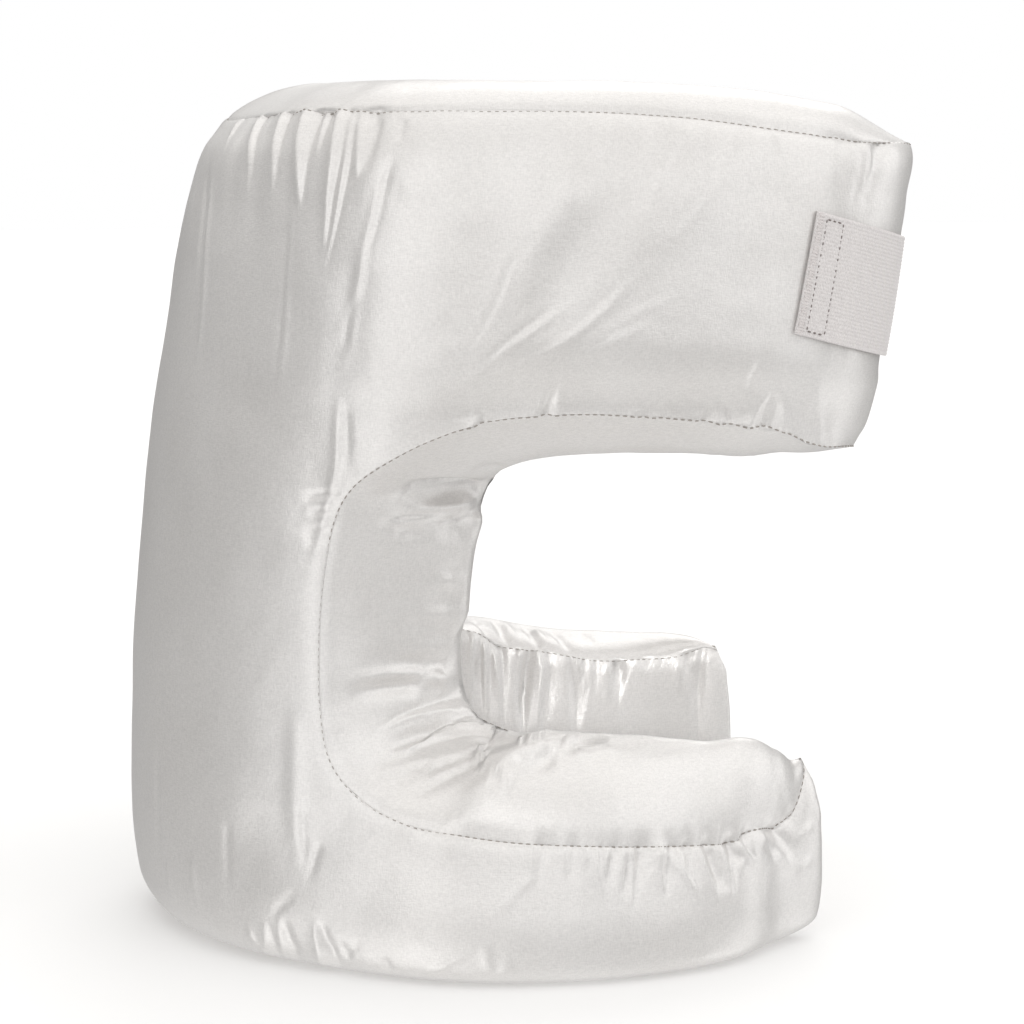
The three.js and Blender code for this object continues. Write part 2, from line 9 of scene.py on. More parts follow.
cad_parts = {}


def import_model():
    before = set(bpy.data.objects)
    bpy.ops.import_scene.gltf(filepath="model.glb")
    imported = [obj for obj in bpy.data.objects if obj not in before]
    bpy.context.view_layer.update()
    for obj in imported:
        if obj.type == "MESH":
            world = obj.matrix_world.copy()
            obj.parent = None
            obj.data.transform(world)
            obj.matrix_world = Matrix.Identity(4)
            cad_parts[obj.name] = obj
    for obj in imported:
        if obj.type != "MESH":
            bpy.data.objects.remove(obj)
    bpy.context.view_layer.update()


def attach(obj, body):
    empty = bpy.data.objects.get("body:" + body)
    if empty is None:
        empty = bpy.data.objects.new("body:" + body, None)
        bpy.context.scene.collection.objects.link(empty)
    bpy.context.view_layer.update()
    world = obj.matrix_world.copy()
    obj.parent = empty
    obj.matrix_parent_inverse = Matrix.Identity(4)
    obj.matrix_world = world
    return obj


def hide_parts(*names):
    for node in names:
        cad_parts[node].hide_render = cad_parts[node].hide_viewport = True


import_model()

ORIGIN_SHIFT = 9.05
MILLIMETRE = 0.001

# The camera: the folds are placed as it sees them

PICTURE_SIZE = 1024
CAMERA_DISTANCE = 1332
CAMERA_TURN = math.radians(-9)
CAMERA_HEIGHT = 368
LOOKED_AT = Vector((0, 0, 175))
MEAN_RADIUS = 145
PIXELS_PER_MILLIMETRE = 2.54
FOCAL_LENGTH = PIXELS_PER_MILLIMETRE * (CAMERA_DISTANCE - MEAN_RADIUS)
EYE = Vector((math.sin(CAMERA_TURN) * CAMERA_DISTANCE, -math.cos(CAMERA_TURN) * CAMERA_DISTANCE,
              CAMERA_HEIGHT))
VIEW_AXES = (LOOKED_AT - EYE).to_track_quat("-Z", "Y").to_matrix()

# The wall's form: the solids' sizes, but for the upper back, the opening's outer seam and the top seam,
# which are a few millimetres off them

OUTER_PLAN_COLLAR = [(36, 138), (40, 142), (44, 145), (50, 148), (57, 150), (65, 150), (75, 149.5),
                     (90, 149), (105, 149), (120, 149.5), (135, 153), (150, 161), (165, 168), (180, 171)]
OUTER_PLAN_ARM = [(36, 176), (40, 176.5), (44, 174), (50, 167), (57, 158), (65, 150), (75, 144),
                  (90, 141), (105, 142), (120, 144), (135, 145), (150, 146), (165, 147), (180, 148)]
COLLAR_TOP = 80
ARM_FOOT = 235

BACK_PROFILE = [(0, 151), (3, 157.5), (11, 165), (24, 169), (48, 171), (95, 170.5), (140, 167), (190, 162.5),
                (230, 157.5), (262, 152), (297, 145.5), (323, 139.5), (337, 135), (346, 129), (352, 125)]
SIDE_PROFILE = [(0, 11), (3, 5), (9, 1.5), (25, 0), (57, 3.5), (110, 2), (170, 1), (230, 3), (250, 0),
                (300, 0), (325, 1.5), (340, 4.5), (354, 9.5)]
CAVITY_HALF_WIDTH = (85, 78)
CAVITY_BACK = (86, 67)

OUTER_OPENING = [(97, 59), (82, 56.5), (62, 56.5), (37, 56.5), (7, 58.8), (-23, 61), (-46, 64), (-66, 68),
                 (-82, 76.5), (-93, 90), (-97, 113), (-97.3, 140), (-95, 168), (-90.5, 190), (-84, 203),
                 (-73, 212.5), (-54, 221), (-30, 226), (2, 228.5), (42, 226.5), (74, 222.5), (90, 220),
                 (101, 216)]
OUTER_CORNERS = (8, 14)
INNER_OPENING = [(105, 84), (84, 84), (44, 85), (6, 90), (-15, 95), (-27, 101), (-32, 112), (-33, 130),
                 (-31, 155), (-26, 182), (-19, 200), (-7, 209), (18, 215), (54, 217), (85, 214), (110, 210)]
INNER_CORNERS = (5, 10)

TOP_SEAM = [(-130, 349.5), (-115, 353), (-100, 354.5), (-70, 355), (0, 355), (52, 352), (87, 347),
            (112, 343.5), (134, 340)]
TOP_RISE = [(-130, 12.5), (-115, 12.5), (-100, 12.5), (-70, 12.5), (0, 12.5), (52, 13.5), (87, 15),
            (112, 14.5), (134, 14)]
INNER_TOP_DROP = 3
ARM_END = dict(outer_x=123, inner_x=128, foot_x=100, blend=14, corner_rise=5)
LOBE_END = dict(outer_x=97, blend=6)
SWELL = dict(underside=7.5, back=5, lobe=26)
SWELL_ROUNDS = 147
REACH = dict(forwards=0.5, inwards=0.2, arm_seam=40, arm_middle=42, lobe_foot=9, lobe_seam=18,
             lobe_middle=27.5, blend=30)
TOP_SPLIT_TURN = -6
FOOT_SPLIT_TURN = 3

# Mesh density: steps along each stretch of the rim, all divisible by 4, and across the strips. The strips
# are coarser from step 20 across, and the cavity's lobe patch is fine from row 3 up.
BACK_COLUMNS = 148
SIDE_COLUMNS = 164
LOW_COUNT = 52
MIDDLE_COUNT = 92
HIGH_COUNT = 96
ACROSS_COUNT = 28
COARSER_FROM = 20
COARSEST_FROM = 25
PLEATED_FROM = 3
LOW_ROWS = [0, 0.06, 0.18, 0.4, 0.7, 0.9, 1]
HIGH_ROWS = [0, 0.05, 0.14, 0.26, 0.39, 0.52, 0.65, 0.77, 0.87, 0.95, 1]
SWELL_EVEN = [(0, 0), (0.08, 0.37), (0.2, 0.72), (0.36, 0.95), (0.5, 1), (0.64, 0.95), (0.8, 0.72),
              (0.92, 0.37), (1, 0)]
SWELL_TOP_BACK = [(0, 0), (0.1, 0.22), (0.22, 0.5), (0.38, 0.8), (0.55, 0.98), (0.68, 0.95), (0.82, 0.7),
                  (0.92, 0.37), (1, 0)]
SWELL_LOBE = [(0, 0), (0.08, 0.47), (0.2, 0.79), (0.36, 0.96), (0.5, 0.97), (0.64, 0.76), (0.8, 0.48),
              (0.92, 0.22), (1, 0)]

# How far the cover of the opening's back bulges forwards beside the cavity's seam.
BACK_BULGE = [(0, 0), (0.3, 1), (0.55, 3), (0.75, 5.5), (0.88, 6), (0.96, 3.5), (1, 0)]


def read_table(rows, at):
    """A smooth curve through (key, value) rows, read at any keys."""
    keys, values = np.array(rows, float).T
    slopes = np.empty_like(values)
    slopes[1:-1] = (values[2:] - values[:-2]) / (keys[2:] - keys[:-2])
    slopes[0] = (values[1] - values[0]) / (keys[1] - keys[0])
    slopes[-1] = (values[-1] - values[-2]) / (keys[-1] - keys[-2])
    at = np.asarray(at, float)
    low = np.clip(np.searchsorted(keys, at) - 1, 0, len(keys) - 2)
    span = keys[low + 1] - keys[low]
    part = np.clip((at - keys[low]) / span, 0, 1)
    square, cube = part ** 2, part ** 3
    return (values[low] * (2 * cube - 3 * square + 1) + values[low + 1] * (3 * square - 2 * cube)
            + span * (slopes[low] * (cube - 2 * square + part) + slopes[low + 1] * (cube - square)))


def smoothstep(value, low, high):
    part = np.clip((np.asarray(value, float) - low) / (high - low), 0, 1)
    return part * part * (3 - 2 * part)


def lerp(start, end, part):
    return start + (end - start) * part


def refine(steps, count):
    return np.interp(np.linspace(0, len(steps) - 1, count + 1), np.arange(len(steps)), steps)


def outer_radius(angle, z):
    level = smoothstep(z, COLLAR_TOP, ARM_FOOT)
    collar = read_table(OUTER_PLAN_COLLAR, angle)
    arm = read_table(OUTER_PLAN_ARM, angle)
    back = read_table(BACK_PROFILE, z) - lerp(OUTER_PLAN_COLLAR[-1][1], OUTER_PLAN_ARM[-1][1], level)
    side = -read_table(SIDE_PROFILE, z)
    return lerp(collar, arm, level) + lerp(side, back, smoothstep(angle, 100, 175))


def inner_radius(angle, z):
    level = smoothstep(z, COLLAR_TOP, ARM_FOOT)
    half_width = lerp(*CAVITY_HALF_WIDTH, level)
    back = lerp(*CAVITY_BACK, level)
    turn = np.radians(angle)
    ellipse = 1 / np.hypot(np.cos(turn) / back, np.sin(turn) / half_width)
    return np.where(np.asarray(angle) <= 90, half_width / np.maximum(np.sin(turn), 1e-6), ellipse)


def on_wall(radius, angle, z):
    angle, z = np.broadcast_arrays(np.asarray(angle, float), np.asarray(z, float))
    reach = radius(angle, z)
    turn = np.radians(angle)
    return np.stack([reach * np.cos(turn), -reach * np.sin(turn), z], -1)


def angle_at_x(radius, x, z):
    x, z = np.broadcast_arrays(np.asarray(x, float), np.asarray(z, float))
    front, back = np.full(x.shape, 20.0), np.full(x.shape, 180.0)
    for _ in range(40):
        middle = (front + back) / 2
        ahead = on_wall(radius, middle, z)[..., 0] > x
        front, back = np.where(ahead, middle, front), np.where(ahead, back, middle)
    return (front + back) / 2


def opening_curve(rows, at):
    """The centripetal curve through the opening's rows, at places counted in rows."""
    points = np.array(rows, float)
    last = len(points) - 1
    padded = np.vstack([2 * points[0] - points[1], points, 2 * points[-1] - points[-2]])
    low = np.clip(np.floor(at).astype(int), 0, last - 1)
    part = (at - low)[:, None]
    p0, p1, p2, p3 = (padded[low + step] for step in range(4))
    t0, t1, t2 = (np.sum((b - a) ** 2, 1)[:, None] ** 0.25 for a, b in ((p0, p1), (p1, p2), (p2, p3)))
    leave = ((p1 - p0) / t0 - (p2 - p0) / (t0 + t1) + (p2 - p1) / t1) * t1
    arrive = ((p2 - p1) / t1 - (p3 - p1) / (t1 + t2) + (p3 - p2) / t2) * t1
    return (p1 + leave * part + (3 * p2 - 3 * p1 - 2 * leave - arrive) * part ** 2
            + (2 * p1 - 2 * p2 + leave + arrive) * part ** 3)


def fill_patch(bottom, top, left, right):
    """Fills a patch of (angle, z) between its four edges: [column, row, 2]."""
    across = np.linspace(0, 1, len(bottom))[:, None, None]
    up = ((left[:, 1] - left[0, 1]) / (left[-1, 1] - left[0, 1]))[None, :, None]
    corners = lerp(lerp(bottom[0], bottom[-1], across), lerp(top[0], top[-1], across), up)
    return lerp(bottom[:, None], top[:, None], up) + lerp(left[None], right[None], across) - corners


def straight(start, end, steps):
    return lerp(np.array(start, float), np.array(end, float), np.asarray(steps)[:, None])


def lay_out_wall(radius, outline, corners, top_drop, arm_end_x):
    """One side of the wall as three patches of (angle, z) that share edges."""
    lower, upper = corners
    last = len(outline) - 1
    side = np.linspace(0, 1, SIDE_COLUMNS + 1)
    low_rows = refine(LOW_ROWS, LOW_COUNT)
    high_rows = refine(HIGH_ROWS, HIGH_COUNT)

    def stretch(start, end, steps):
        at = opening_curve(outline, lerp(start, end, steps))
        return np.stack([angle_at_x(radius, at[:, 0], at[:, 1]), at[:, 1]], -1)

    lobe = stretch(lower, 0, side)
    back = stretch(lower, upper, np.linspace(0, 1, MIDDLE_COUNT + 1))
    arm = stretch(upper, last, side)

    def seam_z(x):
        return read_table(TOP_SEAM, x) - top_drop

    def on_top_seam(angles):
        x = on_wall(radius, angles, np.full(len(angles), seam_z(0)))[:, 0]
        return np.stack([angles, seam_z(x)], -1)

    top_split = back[-1, 0] + TOP_SPLIT_TURN
    top_front = angle_at_x(radius, arm_end_x, seam_z(arm_end_x))
    back_steps = np.linspace(0, 1, BACK_COLUMNS + 1)
    back_top = on_top_seam(lerp(180, top_split, back_steps))
    arm_top = on_top_seam(lerp(top_split, top_front, side))
    foot = (back[0, 0] + FOOT_SPLIT_TURN, 0)
    lobe_foot_front = (lobe[-1, 0], 0)
    lower_rib = straight(foot, back[0], low_rows)
    upper_rib = straight(back[-1], back_top[-1], high_rows)
    right = np.vstack([lower_rib, back[1:], upper_rib[1:]])
    left = np.stack([np.full(len(right), 180.0), right[:, 1] / back_top[-1, 1] * back_top[0, 1]], -1)
    return {
        "back": fill_patch(straight((180, 0), foot, back_steps), back_top, left, right),
        "arm": fill_patch(arm, arm_top, upper_rib, straight(arm[-1], arm_top[-1], high_rows)),
        "lobe": fill_patch(straight(foot, lobe_foot_front, side), lobe,
                           lower_rib, straight(lobe_foot_front, lobe[-1], low_rows)),
    }


def walk_rim():
    """The rim's places in order: (stretch, patch, column, row, part of the way along)."""
    back, side, low, middle, high = BACK_COLUMNS, SIDE_COLUMNS, LOW_COUNT, MIDDLE_COUNT, HIGH_COUNT
    corner = low + middle
    rim = []

    def walk(stretch, patch, count, place):
        for step in range(1 if rim else 0, count + 1):
            rim.append((stretch, patch, *place(step), step / count))

    walk("top", "back", back, lambda step: (step, corner + high))
    walk("top", "arm", side, lambda step: (step, high))
    walk("arm_end", "arm", high, lambda step: (side, high - step))
    walk("underside", "arm", side, lambda step: (side - step, 0))
    walk("opening_back", "back", middle, lambda step: (back, corner - step))
    walk("lobe_top", "lobe", side, lambda step: (step, low))
    walk("lobe_end", "lobe", low, lambda step: (side, low - step))
    walk("foot", "lobe", side, lambda step: (side - step, 0))
    walk("foot", "back", back, lambda step: (back - step, 0))
    return rim


OUTER_LAYOUT = lay_out_wall(outer_radius, OUTER_OPENING, OUTER_CORNERS, 0, ARM_END["outer_x"])
INNER_LAYOUT = lay_out_wall(inner_radius, INNER_OPENING, INNER_CORNERS, INNER_TOP_DROP, ARM_END["inner_x"])
RIM = walk_rim()
STRETCH = np.array([place[0] for place in RIM])
ALONG = np.array([place[4] for place in RIM])


def rim_points(layout, radius):
    at = np.array([layout[patch][column, row] for _, patch, column, row, _ in RIM])
    return on_wall(radius, at[:, 0], at[:, 1])


def swell_of_rim(outer, inner):
    """How far each rib swells between its seams, as vectors."""
    swell = np.zeros_like(outer)

    def before(end_x, blend):
        return 1 - smoothstep(outer[:, 0], end_x - blend, end_x)

    arm_front = before(ARM_END["outer_x"], ARM_END["blend"])
    top = lerp(ARM_END["corner_rise"], read_table(TOP_RISE, outer[:, 0]), arm_front)
    arm_end = ARM_END["corner_rise"] * (1 - smoothstep(ALONG, 0, 0.3))
    underside = -SWELL["underside"] * before(ARM_END["foot_x"], ARM_END["blend"])
    lobe = SWELL["lobe"] * before(LOBE_END["outer_x"], LOBE_END["blend"])
    cases = [STRETCH == name for name in ("top", "arm_end", "underside", "lobe_top")]
    swell[:, 2] = np.select(cases, [top, arm_end, underside, lobe], 0)
    forwards = np.stack([inner[:, 1] - outer[:, 1], outer[:, 0] - inner[:, 0]], -1)
    forwards *= SWELL["back"] / np.linalg.norm(forwards, axis=1, keepdims=True)
    swell[STRETCH == "opening_back", :2] = forwards[STRETCH == "opening_back"]
    free = np.isin(STRETCH, ["underside", "opening_back", "lobe_top"])
    for _ in range(SWELL_ROUNDS):
        mean = (np.roll(swell, 1, 0) + np.roll(swell, -1, 0) + swell) / 3
        swell = np.where(free[:, None], mean, swell)
    return swell


def reach_of_rim(outer):
    middle = 4 * ALONG * (1 - ALONG)

    def near(end_x):
        return np.clip(1 - (end_x - outer[:, 0]) / REACH["blend"], 0, None) ** 2

    arm = lerp(REACH["arm_seam"], REACH["arm_middle"], middle)
    lobe = lerp(REACH["lobe_foot"], lerp(REACH["lobe_seam"], REACH["lobe_middle"], middle),
                smoothstep(1 - ALONG, 0, 0.25))
    cases = [STRETCH == name for name in ("arm_end", "lobe_end", "lobe_top", "foot", "top", "underside")]
    reach = np.select(cases, [arm, lobe, REACH["lobe_seam"], REACH["lobe_foot"], REACH["arm_seam"],
                              REACH["arm_seam"]], 0)
    share = np.select(cases, [1, 1, near(LOBE_END["outer_x"]), near(LOBE_END["outer_x"]),
                              near(ARM_END["outer_x"]), near(ARM_END["foot_x"])], 0)
    return reach[:, None], share[:, None]


def rib_curve(outer, inner, reach, share, parts):
    away = np.stack([-outer[:, 1], outer[:, 0], np.zeros(len(outer))], -1)
    away /= np.linalg.norm(away, axis=1, keepdims=True)
    away[:, 0] += REACH["forwards"]
    away *= reach / np.linalg.norm(away, axis=1, keepdims=True)
    forwards = np.array([1, REACH["inwards"], 0]) * reach
    leave = lerp(lerp(outer, inner, 1 / 3), outer + away, share)
    arrive = lerp(lerp(outer, inner, 2 / 3), inner + forwards, share)
    t = parts[None, :, None]
    return (outer[:, None] * (1 - t) ** 3 + 3 * leave[:, None] * t * (1 - t) ** 2
            + 3 * arrive[:, None] * t ** 2 * (1 - t) + inner[:, None] * t ** 3)


def shape_band(outer, inner, parts):
    """The strips and rounded ends: ribs from the outer to the inner wall, [place, part, 3]."""
    swell = swell_of_rim(outer, inner)
    bulge = read_table(BACK_BULGE, parts)[None, :, None] * (STRETCH == "opening_back")[:, None, None]
    bulge = bulge * (smoothstep(ALONG, 0, 0.25) * (1 - smoothstep(ALONG, 0.75, 1)))[:, None, None]
    profile = np.where((STRETCH == "lobe_top")[:, None],
                       read_table(SWELL_LOBE, parts), read_table(SWELL_EVEN, parts))
    at_back = ((STRETCH == "top") * (1 - smoothstep(outer[:, 0], -110, -30)))[:, None]
    profile = lerp(profile, read_table(SWELL_TOP_BACK, parts), at_back)
    curve = rib_curve(outer, inner, *reach_of_rim(outer), parts)
    return curve + swell[:, None] * profile[:, :, None] + bulge * np.array([1, 0, 0])


# The cushion's mesh

# Regions of the cushion that the folds are laid on.
OUTER_PANEL, STRIP, CAVITY_PANEL = 0, 1, 2
NEAR, FAR = -1, 1


class Skin:
    """Collects vertices with their place on the cover, and faces between them."""

    def __init__(self):
        self.points, self.regions, self.faces, self.sides, self.count = [], [], [], [], 0

    def grid(self, points, region):
        """Adds [line, step] points and returns their numbers in the same layout."""
        shape = points.shape[:2]
        self.points.append(points.reshape(-1, 3))
        self.regions.append(np.broadcast_to(region, shape).reshape(-1))
        numbers = np.arange(self.count, self.count + shape[0] * shape[1]).reshape(shape)
        self.count += numbers.size
        return numbers

    def add(self, corners, side, flipped):
        self.faces.append(corners[:, ::-1] if flipped else corners)
        self.sides.append(side)

    def quads(self, numbers, side, flipped):
        corners = [numbers[:-1, :-1], numbers[1:, :-1], numbers[1:, 1:], numbers[:-1, 1:]]
        self.add(np.stack(corners, -1).reshape(-1, 4), side, flipped)

    def funnel(self, fine, coarse, side, flipped):
        """Joins a row of places to one with half as many, by five-sided faces."""
        corners = [fine[1:-1:2], fine[2::2], coarse[1:], coarse[:-1], fine[:-2:2]]
        self.add(np.stack(corners, -1), side, flipped)


def build_skin():
    """Both sides of the cushion, smooth and without folds, and the ribs' numbers on each side."""
    skin = Skin()
    parts = np.linspace(0, 1, ACROSS_COUNT + 1)
    parts = lerp(parts, smoothstep(parts, 0, 1), 0.35)
    band = shape_band(rim_points(OUTER_LAYOUT, outer_radius), rim_points(INNER_LAYOUT, inner_radius), parts)
    regions = np.full(band.shape[:2], STRIP)
    regions[np.isin(STRETCH, ["arm_end", "lobe_end"])] = OUTER_PANEL
    regions[:, 0] = OUTER_PANEL
    regions[:, -1] = CAVITY_PANEL
    ribs = {}
    for side in (NEAR, FAR):
        mirror = np.array([1, -side, 1])
        flipped = side == FAR
        for at in OUTER_LAYOUT.values():
            wall = on_wall(outer_radius, at[..., 0], at[..., 1]) * mirror
            skin.quads(skin.grid(wall, OUTER_PANEL), side, flipped)
        for patch, at in INNER_LAYOUT.items():
            columns = 1 if patch == "lobe" else 4
            wall = on_wall(inner_radius, at[::columns, ::4, 0], at[::columns, ::4, 1]) * mirror
            numbers = skin.grid(wall, CAVITY_PANEL)
            if patch == "lobe":
                skin.quads(numbers[:, PLEATED_FROM:], side, not flipped)
                for row, step in ((PLEATED_FROM, 1), (PLEATED_FROM - 1, 2)):
                    skin.funnel(numbers[::step, row], numbers[::2 * step, row - 1], side, flipped)
                numbers = numbers[::4, :PLEATED_FROM - 1]
            skin.quads(numbers, side, not flipped)
        numbers = skin.grid(band * mirror, regions)
        skin.quads(numbers[:, :COARSER_FROM + 1], side, flipped)
        collar = np.flatnonzero(STRETCH == "lobe_top")
        first, last = collar[0] - 1, collar[-1]
        skin.quads(numbers[first:last + 1, COARSER_FROM:], side, flipped)
        for run in (numbers[:first + 1], numbers[last:]):
            half, quarter = run[::2, COARSER_FROM + 1:COARSEST_FROM + 1], run[::4, COARSEST_FROM + 1:]
            for block in (half, quarter):
                skin.quads(block, side, flipped)
            skin.funnel(run[:, COARSER_FROM], half[:, 0], side, flipped)
            skin.funnel(half[:, -1], quarter[:, 0], side, flipped)
        ribs[side] = numbers
    return skin, ribs


def weld(skin):
    """Joins vertices that coincide and drops unused ones."""
    points, regions = np.vstack(skin.points), np.concatenate(skin.regions)
    _, first, inverse = np.unique(np.round(points, 2), axis=0, return_index=True, return_inverse=True)
    inverse = inverse.reshape(-1)
    faces = [inverse[block] for block in skin.faces]
    used = np.unique(np.concatenate([block.reshape(-1) for block in faces]))
    renumber = np.full(len(first), -1)
    renumber[used] = np.arange(len(used))
    return points[first[used]], regions[first[used]], [renumber[block] for block in faces], renumber[inverse]


def vertex_normals(points, faces):
    normals = np.zeros_like(points)
    for block in faces:
        corners = points[block]
        normal = np.cross(corners[:, 2] - corners[:, 0], corners[:, 3] - corners[:, 1])
        for column in range(block.shape[1]):
            for axis in range(3):
                normals[:, axis] += np.bincount(block[:, column], normal[:, axis], len(points))
    return normals / np.maximum(np.linalg.norm(normals, axis=1, keepdims=True), 1e-9)


# How the smooth cushion departs from the plain form: its front tips stand lower, higher or further
# forward than the tables above say.
CORNER_DROP = 4.5
LIP_DRAW = 5
NEAR_TIP_DROP = 6
NEAR_CROWN_RISE = [(60, 0.5), (79, 2.1), (86, 1.2), (92, -0.6), (96, -1.8), (99, -1.8), (102.5, -2.4),
                   (106, -2.6), (109, -0.4), (113, 3), (125, 4.5)]
FAR_TIP_FORWARD = [(60, 0), (72, 1), (82, 2.5), (90, 5), (100, 6.5)]
ARM_END_FORWARD = [(218, 0), (226, 1.5), (240, 1.5), (248, 0), (320, 0), (338, 2.4), (354, 2.4)]
FAR_SEAM_RISE = [(-40, 13), (-2, 13), (8, 8.5), (31, 8), (55, 5), (79, 5.3), (94, 6), (103, 9), (120, 14)]
FAR_CROWN_RISE = [(-40, 8), (3, 7), (22, 5), (42, 4), (56, 4), (71, 3.3), (88, 3), (100, 8.5), (110, 18),
                  (120, 24)]


def settle(points):
    """Moves the front tips of the arms and the collar to where the real cushion has them."""
    points = np.array(points, float)
    x, y, z = points.T
    on_collar = smoothstep(z, 20, 75) * (1 - smoothstep(z, 100, 150))
    lowered = CORNER_DROP * smoothstep(x, 100, 155) * smoothstep(z, 290, 350)
    lowered += NEAR_TIP_DROP * smoothstep(x, 30, 85) * on_collar * (y < 0)
    raised = lerp(read_table(FAR_SEAM_RISE, x), read_table(FAR_CROWN_RISE, x), smoothstep(y, 90, 112))
    raised *= on_collar * (y > 0) * smoothstep(x, -75, -45)
    near_crown = on_collar * (y < 0) * (1 - smoothstep(-y, 115, 142))
    raised += read_table(NEAR_CROWN_RISE, x) * smoothstep(x, 60, 79) * near_crown
    drawn_back = LIP_DRAW * smoothstep(x, 115, 150) * (1 - smoothstep(z, 210, 222)) * (z > 150)
    forward = read_table(ARM_END_FORWARD, z) * smoothstep(x, 100, 140)
    forward += read_table(FAR_TIP_FORWARD, z) * smoothstep(x, 92, 112) * on_collar * (y > 0)
    return points + np.stack([forward - drawn_back, 0 * x, raised - lowered], -1)


def relax(points, faces, weight, rounds):
    """Evens out the points that have a weight, each round towards the mean of their neighbours."""
    moving = weight > 0
    near = [block[moving[block].any(1)] for block in faces]
    near = [block for block in near if len(block)]
    starts = np.concatenate([block[:, column] for block in near for column in range(block.shape[1])])
    ends = np.concatenate([block[:, (column + 1) % block.shape[1]] for block in near
                           for column in range(block.shape[1])])
    used, compact = np.unique(np.concatenate([starts, ends]), return_inverse=True)
    starts, ends = compact[:len(starts)], compact[len(starts):]
    at, share = points[used], weight[used][:, None]
    count = (np.bincount(starts, minlength=len(used)) + np.bincount(ends, minlength=len(used)))[:, None]
    for _ in range(rounds):
        total = np.stack([np.bincount(starts, at[ends, axis], len(used))
                          + np.bincount(ends, at[starts, axis], len(used)) for axis in range(3)], -1)
        at = at + share * (total / count - at)
    points = points.copy()
    points[used] = at
    return points


# How the joins are relaxed: how far from a join, fully up to where, and in how many rounds.
CORNER_RELAX = dict(reach=42, full=12, rounds=260)
EDGE_REACH = dict(arm_end=14, lobe_end=30)
EDGE_RELAX = dict(full=4, rounds=40)


def relax_joins(points, faces, regions, ribs):
    """Relaxes the corners between the opening's back and the collar's top, and the ends' outer edges."""
    for numbers in ribs.values():
        corner = numbers[np.flatnonzero(STRETCH == "lobe_top")[0]]
        every, gap, _ = near_chain(points, corner[3:-3], CORNER_RELAX["reach"])
        weight = np.zeros(len(points))
        weight[every] = 1 - smoothstep(gap, CORNER_RELAX["full"], CORNER_RELAX["reach"])
        weight[every] *= regions[every] == STRIP
        points = relax(points, faces, weight, CORNER_RELAX["rounds"])
        for stretch, reach in EDGE_REACH.items():
            edge = numbers[np.flatnonzero(STRETCH == stretch)[3:-3], 0]
            every, gap, _ = near_chain(points, edge, reach)
            weight = np.zeros(len(points))
            weight[every] = 1 - smoothstep(gap, EDGE_RELAX["full"], reach)
            weight[every] *= regions[every] == OUTER_PANEL
            weight[numbers[:, -1]] = 0
            points = relax(points, faces, weight, EDGE_RELAX["rounds"])
    return points


# Seams, folds and puckers of the cover

LATTICE = np.random.default_rng(11).uniform(-1, 1, (32, 32, 32))


def noise(places, seed):
    """Smooth random values from -1 to 1 that change over a distance of about 1."""
    places = np.asarray(places, float) + seed * np.array([3.17, 5.71, 7.43])
    cell = np.floor(places).astype(int)
    part = places - cell
    part = part * part * (3 - 2 * part)
    total = np.zeros(places.shape[:-1])
    for corner in np.ndindex(2, 2, 2):
        weight = np.prod(np.where(corner, part, 1 - part), -1)
        at = (cell + corner) % len(LATTICE)
        total += weight * LATTICE[at[..., 0], at[..., 1], at[..., 2]]
    return total


def chain_of(ribs, stretches, part):
    return ribs[np.flatnonzero(np.isin(STRETCH, stretches)), part]


def seam_chains(ribs):
    """The seams of one side as rows of vertex numbers."""
    def last_rib(stretch):
        return ribs[np.flatnonzero(STRETCH == stretch)[-1]]

    opening = ["underside", "opening_back", "lobe_top"]
    return {
        "top": np.concatenate([chain_of(ribs, ["top"], 0), last_rib("top")[1:]]),
        "opening": np.concatenate([last_rib("arm_end")[:0:-1], chain_of(ribs, opening, 0),
                                   last_rib("lobe_top")[1:]]),
        "cavity": chain_of(ribs, ["top", "arm_end", *opening, "lobe_end"], -1)[::4],
        "collar": chain_of(ribs, ["lobe_top"], -1),
    }


def near_chain(points, chain, reach):
    """Distance to a seam and the length run along it, for the points within reach."""
    line = points[chain]
    run = np.concatenate([[0], np.cumsum(np.linalg.norm(np.diff(line, axis=0), axis=1))])
    tree = kdtree.KDTree(len(line))
    for number, place in enumerate(line):
        tree.insert(place, number)
    tree.balance()
    low, high = line.min(0) - reach, line.max(0) + reach
    chosen = np.flatnonzero(((points > low) & (points < high)).all(1))
    nearest = np.array([tree.find(points[number])[1] for number in chosen])
    distance = np.full(len(chosen), np.inf)
    along = np.zeros(len(chosen))
    for first in (np.maximum(nearest - 1, 0), np.minimum(nearest, len(line) - 2)):
        start, step = line[first], line[first + 1] - line[first]
        part = np.clip(np.sum((points[chosen] - start) * step, 1) / np.sum(step * step, 1), 0, 1)
        gap = np.linalg.norm(points[chosen] - start - step * part[:, None], axis=1)
        better = gap < distance
        distance = np.where(better, gap, distance)
        along = np.where(better, run[first] + part * (run[first + 1] - run[first]), along)
    kept = distance < reach
    return chosen[kept], distance[kept], along[kept]


# Broad troughs that the solids have too: angle and height from and to, depth and width.
TROUGHS = [
    (158, 350, 155, 305, 3, 6), (150, 350, 146, 290, 4, 6), (141, 351, 138, 275, 4, 6),
    (133, 352, 131, 285, 4, 6), (125, 352, 127, 290, 3, 6), (116, 352, 125, 285, 3, 8),
    (125, 285, 130, 215, 4, 9), (131, 212, 135, 150, 2.5, 9), (96, 318, 108, 256, 2.5, 9),
    (74, 340, 100, 262, 2.5, 11), (60, 322, 92, 250, 2.5, 11), (66, 228, 61, 250, 2.5, 8),
    (122, 76, 138, 40, 3, 9), (114, 64, 128, 18, 3, 9), (92, 60, 90, 28, 2.5, 8), (82, 58, 80, 30, 2.5, 8),
    (64, 60, 62, 24, 3, 8), (141, 62, 149, 8, 2.5, 9),
]
TROUGH_SHARE = 0.2

